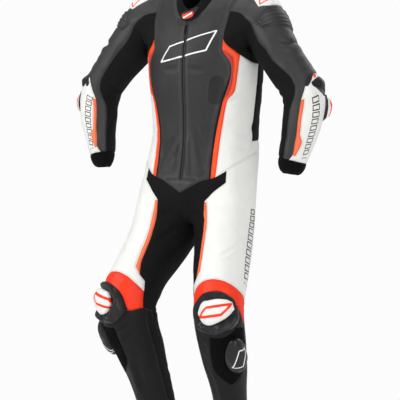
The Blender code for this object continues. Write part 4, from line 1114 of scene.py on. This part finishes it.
def mesh_cloth(name, colour):
    finish = Finish(name, roughness=0.8)
    colour = linear(colour)
    x, y, z = finish.axes(finish.place())
    wave = ((x + y) * (2 * pi / 0.005)).math("SINE") * (z * (2 * pi / 0.005)).math("SINE")
    hole = wave.step(0.15, 0.4)
    finish.set("Base Color", finish.mix(hole, colour, shade(colour, 0.25)))
    finish.bump(1.0 - hole, 0.0009)
    return finish


def plastic(name, colour, roughness=0.42, texture=0.35, inks_used=(), rim=None, rim_width=0.004, light=1.35):
    """Moulded plastic; inks_used are (attribute, colour) pairs, and rim is the colour of a band at its edge."""
    finish = Finish(name, Specular_IOR_Level=0.3)
    colour = linear(colour)
    fine = finish.noise(600.0, 2.0, 0.6)
    broad = finish.noise(30.0, 4.0, 0.6)
    tone = finish.mix(broad.step(0.35, 0.8), colour, shade(colour, light))
    height = fine * texture
    if rim:
        band = 1.0 - finish.value("rim").step(rim_width - 0.0005, rim_width + 0.0005)
        tone = finish.mix(band, tone, linear(rim))
        height = height - band * 0.6
    for attribute, ink_colour in inks_used:
        ink = 1.0 - finish.value(attribute).step(-0.0005, 0.0005)
        tone = finish.mix(ink, tone, linear(ink_colour))
        height = height + ink * 0.5
    finish.set("Base Color", tone)
    finish.set("Roughness", broad * 0.2 + (roughness - 0.1))
    finish.bump(height, 0.0005)
    return finish


def hook_pile(name, colour):
    finish = Finish(name, roughness=0.95, Specular_IOR_Level=0.1)
    colour = linear(colour)
    pile = finish.cells(1100.0)
    finish.set("Base Color", finish.mix(pile.step(0.1, 0.7), shade(colour, 1.7), shade(colour, 0.5)))
    finish.bump(1.0 - pile, 0.0012)
    return finish


def metal(name, colour, roughness=0.3):
    finish = Finish(name, metallic=1.0)
    colour = linear(colour)
    broad = finish.noise(120.0, 3.0, 0.6)
    finish.set("Base Color", finish.mix(broad, shade(colour, 0.85), colour))
    finish.set("Roughness", broad * 0.2 + (roughness - 0.1))
    return finish


def colours():
    return bpy.context.scene.suit_colours


DARK_THREAD, PALE_THREAD = (0.20, 0.20, 0.21), (0.78, 0.78, 0.77)
INK = (0.09, 0.09, 0.095)

FINISHES = {
    "leather": lambda: leather("Black cowhide", colours().leather, DARK_THREAD),
    "sleeve": lambda: leather("Black sleeve cowhide", colours().leather, DARK_THREAD,
                              inks_used=(("ink_b", colours().red),)),
    "shin": lambda: leather("Black shin cowhide", colours().shin, DARK_THREAD, 0.55, shine=0.18),
    # the perforated leather's second ink is a darker leather flap under the collar, and on the left front a painted
    # shade patch
    "perforated": lambda: leather("Perforated black cowhide", colours().front, DARK_THREAD, holes=0.0042,
                                  inks_used=(("ink_b", (0.115, 0.115, 0.117)), ("ink_a", (0.95, 0.95, 0.94)))),
    "white": lambda: leather("White cowhide", colours().white, PALE_THREAD, creased=0.7),
    "forearm": lambda: leather("White forearm cowhide", colours().white, PALE_THREAD, creased=0.7,
                               inks_used=(("ink_a", INK), ("ink_b", colours().red)), boxes="forearm_panel"),
    "thigh": lambda: leather("White thigh cowhide", colours().white, PALE_THREAD, creased=0.7, boxes="thigh_panel"),
    "orange": lambda: leather("Orange cowhide", colours().orange, (0.75, 0.22, 0.14)),
    "stripe": lambda: leather("Orange stripe", colours().stripe, (0.75, 0.25, 0.16)),
    "red": lambda: leather("Red cowhide", colours().red, (0.60, 0.10, 0.07)),
    "edging": lambda: woven("Black edging", colours().moulded, 0.0022, 0.7),
    "stretch": lambda: woven("Black stretch cloth", colours().stretch, 0.0030),
    "calf": lambda: woven("Black calf stretch", colours().stretch, 0.0050, light=2.0),
    "accordion": lambda: leather("Ribbed black cowhide", colours().leather, DARK_THREAD, 0.4),
    "knit": lambda: woven("Black cuff knit", colours().knit, 0.0032, ribs="x"),
    "tape": lambda: covered_tape("Zip tape and cover", colours().front, colours().knit),
    "lining": lambda: mesh_cloth("Grey lining mesh", (0.10, 0.10, 0.103)),
    "red_mesh": lambda: mesh_cloth("Red air mesh", colours().mesh),
    "moulded": lambda: plastic("Black moulded plastic", colours().moulded),
    "cap": lambda: plastic("White shoulder cap", colours().white, 0.38, 0.15, light=1.03,
                           inks_used=(("ink_a", colours().red),)),
    "elbow": lambda: plastic("White elbow plate", colours().white, 0.38, 0.15, light=1.03,
                             inks_used=(("ink_b", colours().red),), rim=INK, rim_width=0.005),
    "knee": lambda: plastic("White knee plate", colours().white, 0.38, 0.15, light=1.03,
                            inks_used=(("ink_a", colours().red),)),
    "slider": lambda: plastic("Black knee slider", colours().moulded, 0.35, inks_used=(("ink_a", (0.9, 0.9, 0.9)),)),
    "tab": lambda: plastic("Black and red collar tab", colours().knit, 0.5, 0.15,
                           inks_used=(("ink_b", colours().red), ("ink_a", (0.95, 0.95, 0.95)))),
    "hook": lambda: hook_pile("Black hook-and-loop", (0.03, 0.03, 0.032)),
    "steel": lambda: metal("Dark zip metal", (0.10, 0.10, 0.104)),
}


# ---------------------------------------------------------------- what a user may change
def colour_property(name, description, default):
    return FloatVectorProperty(name=name, description=description, subtype="COLOR", size=3, min=0.0, max=1.0,
                               default=default)


class SuitColours(PropertyGroup):
    leather: colour_property("Leather", "Colour of the black leather", (0.185, 0.185, 0.189))
    front: colour_property("Front", "Colour of the perforated front leather", (0.190, 0.190, 0.193))
    shin: colour_property("Shin", "Colour of the leather below the knee", (0.075, 0.075, 0.078))
    white: colour_property("White", "Colour of the white leather and plates", (0.875, 0.875, 0.862))
    orange: colour_property("Orange", "Colour of the side inserts and forearm stripes", (0.98, 0.30, 0.10))
    stripe: colour_property("Stripe", "Colour of the thigh stripes", (0.97, 0.46, 0.29))
    red: colour_property("Red", "Colour of the knee bands and small trims", (0.95, 0.20, 0.04))
    mesh: colour_property("Mesh", "Colour of the air mesh under the arms", (0.80, 0.26, 0.20))
    stretch: colour_property("Stretch", "Colour of the stretch cloth", (0.075, 0.075, 0.078))
    knit: colour_property("Knit", "Colour of the cuffs and the zip tape", (0.03, 0.03, 0.032))
    moulded: colour_property("Moulded", "Colour of the black plastic pieces", (0.09, 0.09, 0.093))


def length_property(name, description, default, low, high):
    return FloatProperty(name=name, description=description, default=default, min=low, max=high, unit="LENGTH")


class SuitSizes(PropertyGroup):
    wall: length_property("Cloth", "Thickness of the leather with its lining", 0.0016, 0.0005, 0.003)
    puff: length_property("Puff", "How far a panel stands proud of its seams", 0.0016, 0.0, 0.004)
    seam_depth: length_property("Seam depth", "Depth of the groove along a seam", 0.0014, 0.0, 0.004)
    rib_pitch: length_property("Rib pitch", "Spacing of the accordion's ribs", 0.012, 0.004, 0.03)
    rib_height: length_property("Rib height", "Height of the accordion's ribs", 0.004, 0.0, 0.006)
    fold_depth: FloatProperty(name="Folds", description="Strength of the folds, 1 as it hangs", default=1.0,
                              min=0.0, max=2.0, subtype="FACTOR")


# ---------------------------------------------------------------- zip
def front_at(x, z):
    """The cloth's place straight behind a point in front of the suit."""
    return cloth().tree.ray_cast(Vector((x, -1.0, z)), Vector((0, 1, 0)))[0]


def block(place, size):
    """Starts a piece as a box, in edit mode with all of it selected."""
    bpy.ops.object.select_all(action="DESELECT")
    bpy.ops.mesh.primitive_cube_add(size=1, location=place)
    bpy.context.object.scale = size
    bpy.ops.object.transform_apply(location=False, rotation=False, scale=True)
    bpy.ops.object.mode_set(mode="EDIT")
    bpy.ops.mesh.select_mode(type="FACE")
    bpy.ops.mesh.select_all(action="SELECT")
    return bpy.context.object


def select_facing(obj, way):
    """Selects in edit mode the faces that look one way."""
    mesh = bmesh.from_edit_mesh(obj.data)
    for face in mesh.faces:
        face.select = face.normal.dot(Vector(way)) > 0.9
    mesh.select_flush_mode()
    bmesh.update_edit_mesh(obj.data)


def rounded(obj, radius, name, finish):
    """Bevels all of a piece's edges, leaves edit mode and settles its place in its mesh."""
    bpy.ops.mesh.select_all(action="SELECT")
    bpy.ops.mesh.bevel(offset=radius, segments=1, affect="EDGES")
    bpy.ops.object.mode_set(mode="OBJECT")
    bpy.ops.object.transform_apply(location=True, rotation=True, scale=True)
    obj.name = obj.data.name = name
    obj.data.materials.append(material(finish))
    return obj


def zip_teeth(x, top, low, pitch):
    """A row of closed teeth, reaching in by turns from either side."""
    tooth = block((0, 0, 0), (0.0018, 0.0010, 0.0012))
    select_facing(tooth, (1, 0, 0))
    bpy.ops.mesh.extrude_region_move(TRANSFORM_OT_translate={"value": (0.0009, 0, 0)})
    bpy.ops.transform.resize(value=(1, 1, 1.35))
    rounded(tooth, 0.00018, "zip_tooth", "steel")
    teeth = []
    for i in range(int((top - low) / pitch)):
        z = top - pitch * i
        copy = tooth.copy()
        copy.data = tooth.data.copy()
        bpy.context.scene.collection.objects.link(copy)
        way = 1 if i % 2 else -1
        copy.location = front_at(x, z) + Vector((-0.0006 * way, -0.0004, 0))
        copy.rotation_euler.z = 0 if way > 0 else pi
        teeth.append(copy)
    bpy.data.objects.remove(tooth)
    bpy.ops.object.select_all(action="DESELECT")
    for copy in teeth:
        copy.select_set(True)
    bpy.context.view_layer.objects.active = teeth[0]
    bpy.ops.object.join()
    bpy.ops.object.transform_apply(location=True, rotation=True, scale=True)
    teeth[0].name = teeth[0].data.name = "zip_teeth"
    return teeth[0]


def zip_slider(x, z):
    """The slider's body and its pull."""
    place = front_at(x, z)
    body = block(place + Vector((0, -0.0020, 0)), (0.0075, 0.0034, 0.0110))
    select_facing(body, (0, -1, 0))
    bpy.ops.mesh.inset(thickness=0.0018)
    bpy.ops.mesh.extrude_region_move(TRANSFORM_OT_translate={"value": (0, -0.0012, 0)})
    rounded(body, 0.0005, "zip_slider", "steel")
    pull = block(front_at(x, z - 0.014) + Vector((0, -0.0050, 0)), (0.0050, 0.0012, 0.0180))
    select_facing(pull, (0, -1, 0))
    bpy.ops.mesh.inset(thickness=0.0012)
    bpy.ops.mesh.extrude_region_move(TRANSFORM_OT_translate={"value": (0, 0.0003, 0)})
    rounded(pull, 0.0003, "zip_pull", "steel")
    return body, pull


# ---------------------------------------------------------------- operators
def make_panels(*kinds):
    for kind in kinds:
        for node in node_names(kind):
            cloth_piece(kind, node)


class SUIT_OT_torso(Operator):
    """Front, back and gusset leather"""

    bl_idname = "suit.torso"
    bl_label = "Torso leather"

    def execute(self, context):
        make_panels("front_panel", "zip_gusset", "back_panel")
        return {"FINISHED"}


class SUIT_OT_sides(Operator):
    """White sides with their stretch, insert, mesh and edging"""

    bl_idname = "suit.sides"
    bl_label = "Sides"

    def execute(self, context):
        make_panels("side_panel", "side_stretch", "side_insert", "side_mesh", "edging_strip")
        return {"FINISHED"}


class SUIT_OT_sleeves(Operator):
    """Sleeves with their stretch, stripes, ribs and cuffs"""

    bl_idname = "suit.sleeves"
    bl_label = "Sleeves"

    def execute(self, context):
        make_panels("sleeve_leather", "sleeve_stretch", "forearm_panel", "forearm_stripe", "accordion", "cuff")
        return {"FINISHED"}


class SUIT_OT_legs(Operator):
    """Legs with their stretch, stripes and knee bands"""

    bl_idname = "suit.legs"
    bl_label = "Legs"

    def execute(self, context):
        make_panels("hip_stretch", "thigh_stripe", "thigh_panel", "knee_band", "seat_panel", "calf_panel",
                    "shin_panel")
        return {"FINISHED"}


class SUIT_OT_collar(Operator):
    """Stretch collar and its tab"""

    bl_idname = "suit.collar"
    bl_label = "Collar"

    def execute(self, context):
        make_panels("collar")
        moulded_piece("collar_tab", "red_leather", "tab", 0.0015)
        return {"FINISHED"}


class SUIT_OT_zip(Operator):
    """Front zip with its teeth and slider"""

    bl_idname = "suit.zip"
    bl_label = "Zip"

    def execute(self, context):
        make_panels("front_zip")
        teeth = zip_teeth(ZIP_LINE, ZIP_TOP, ZIP_END, TOOTH_PITCH)
        slide = zip_slider(ZIP_LINE, SLIDER_HEIGHT)
        for obj in (teeth, *slide):
            smooth(obj, 35)
            keep(obj, "moulded")
        return {"FINISHED"}


ARMOUR = [
    # node, slot, finish, rounding, how far its foot stands off the cloth
    ("shoulder_cap", "white_leather", "cap", 0.003, 0.0003),
    ("elbow_guard", "moulded", "moulded", 0.003, 0.0003),
    ("elbow_plate", "white_leather", "elbow", 0.003, 0.0003),
    ("knee_cup", "moulded", "moulded", 0.003, 0.0003),
    ("knee_plate", "white_leather", "knee", 0.003, 0.0003),
    ("slider_patch", "hook", "hook", 0.001, 0.0003),
    ("knee_slider", "moulded", "slider", 0.003, 0.0028),
]


class SUIT_OT_armour(Operator):
    """Shoulder caps, elbow and knee guards, and sliders"""

    bl_idname = "suit.armour"
    bl_label = "Armour"

    def execute(self, context):
        for side in "LR":
            for kind, slot, finish, rounding, sink in ARMOUR:
                moulded_piece(f"{kind}_{side}", slot, finish, rounding, sink=sink)
        return {"FINISHED"}


LIGHTS = [
    # name, place, size, power
    ("Key", (-2.6, -4.0, 1.4), 2.0, 136),
    ("Fill", (3.8, -3.0, 0.4), 3.0, 100),
    ("Top", (-0.5, -0.6, 3.4), 2.6, 60),
    ("Rim", (1.5, 4.2, 1.6), 3.0, 60),
]


def area_light(name, place, target, size, power):
    light = bpy.data.lights.new(name, "AREA")
    light.shape, light.size, light.energy = "DISK", size, power
    obj = bpy.data.objects.new(name, light)
    bpy.context.scene.collection.objects.link(obj)
    obj.location = place
    obj.rotation_euler = (Vector(target) - Vector(place)).to_track_quat("-Z", "Y").to_euler()
    return obj


class SUIT_OT_stage(Operator):
    """Pale floor, soft light and the camera"""

    bl_idname = "suit.stage"
    bl_label = "Stage"

    def execute(self, context):
        bpy.ops.object.select_all(action="DESELECT")
        bpy.ops.mesh.primitive_plane_add(size=40, location=(0, 0, FLOOR_HEIGHT))
        floor = context.active_object
        floor.name = "Floor"
        pale = Finish("Pale floor", roughness=0.9)
        pale.set("Base Color", (0.9, 0.9, 0.9))
        lit = pale.node("ShaderNodeEmission", None, Color=(PAPER, PAPER, PAPER), Strength=1.0, output="Emission")
        seen = pale.node("ShaderNodeLightPath", output="Is Camera Ray")
        mixed = pale.node("ShaderNodeMixShader", None, seen, Socket(pale, pale.shader.outputs[0]), lit)
        pale.links.new(mixed.socket, pale.nodes["Material Output"].inputs["Surface"])
        floor.data.materials.append(pale.material)
        middle = (0, 0, -0.65)
        for name, place, size, power in LIGHTS:
            area_light(name, place, middle, size, power)
        world = bpy.data.worlds.new("Soft studio")
        context.scene.world = world
        world.use_nodes = True
        nodes, links = world.node_tree.nodes, world.node_tree.links
        path, soft = nodes.new("ShaderNodeLightPath"), nodes["Background"]
        soft.inputs["Color"].default_value, soft.inputs["Strength"].default_value = (1, 1, 1, 1), SOFT_LIGHT
        bright, mix = nodes.new("ShaderNodeBackground"), nodes.new("ShaderNodeMixShader")
        bright.inputs["Color"].default_value, bright.inputs["Strength"].default_value = (PAPER, PAPER, PAPER, 1), 1.0
        links.new(path.outputs["Is Camera Ray"], mix.inputs[0])
        links.new(soft.outputs[0], mix.inputs[1])
        links.new(bright.outputs[0], mix.inputs[2])
        links.new(mix.outputs[0], nodes["World Output"].inputs["Surface"])
        turn, down, far, aside, height = radians(29.475), radians(5.0975), 5.0429, -0.0152, -0.2135
        camera = bpy.data.objects.new("Camera", bpy.data.cameras.new("Camera"))
        context.scene.collection.objects.link(camera)
        camera.location = (sin(turn) * far + cos(turn) * aside, -cos(turn) * far + sin(turn) * aside, height)
        back = Vector((sin(turn) * cos(down), -cos(turn) * cos(down), sin(down)))
        camera.rotation_euler = (-back).to_track_quat("-Z", "Y").to_euler()
        camera.data.lens = 137.1
        context.scene.camera = camera
        context.scene.view_settings.view_transform = "Standard"
        return {"FINISHED"}


OPERATORS = (SUIT_OT_torso, SUIT_OT_sides, SUIT_OT_sleeves, SUIT_OT_legs, SUIT_OT_collar, SUIT_OT_zip,
             SUIT_OT_armour, SUIT_OT_stage)


class SUIT_PT_sidebar(Panel):
    bl_idname = "SUIT_PT_sidebar"
    bl_label = "Race suit"
    bl_space_type = "VIEW_3D"
    bl_region_type = "UI"
    bl_category = "Race suit"

    def draw(self, context):
        for group in (context.scene.suit_sizes, context.scene.suit_colours):
            for key in type(group).__annotations__:
                self.layout.prop(group, key)
        for operator in OPERATORS:
            self.layout.operator(operator.bl_idname)


CLASSES = (SuitColours, SuitSizes, *OPERATORS, SUIT_PT_sidebar)


def register():
    for cls in CLASSES:
        bpy.utils.register_class(cls)
    bpy.types.Scene.suit_colours = PointerProperty(type=SuitColours)
    bpy.types.Scene.suit_sizes = PointerProperty(type=SuitSizes)


def unregister():
    del bpy.types.Scene.suit_sizes, bpy.types.Scene.suit_colours
    for cls in reversed(CLASSES):
        bpy.utils.unregister_class(cls)


def main():
    register()
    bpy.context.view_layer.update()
    for operator in OPERATORS:
        group, name = operator.bl_idname.split(".")
        getattr(getattr(bpy.ops, group), name)()


if __name__ == "__main__":
    main()
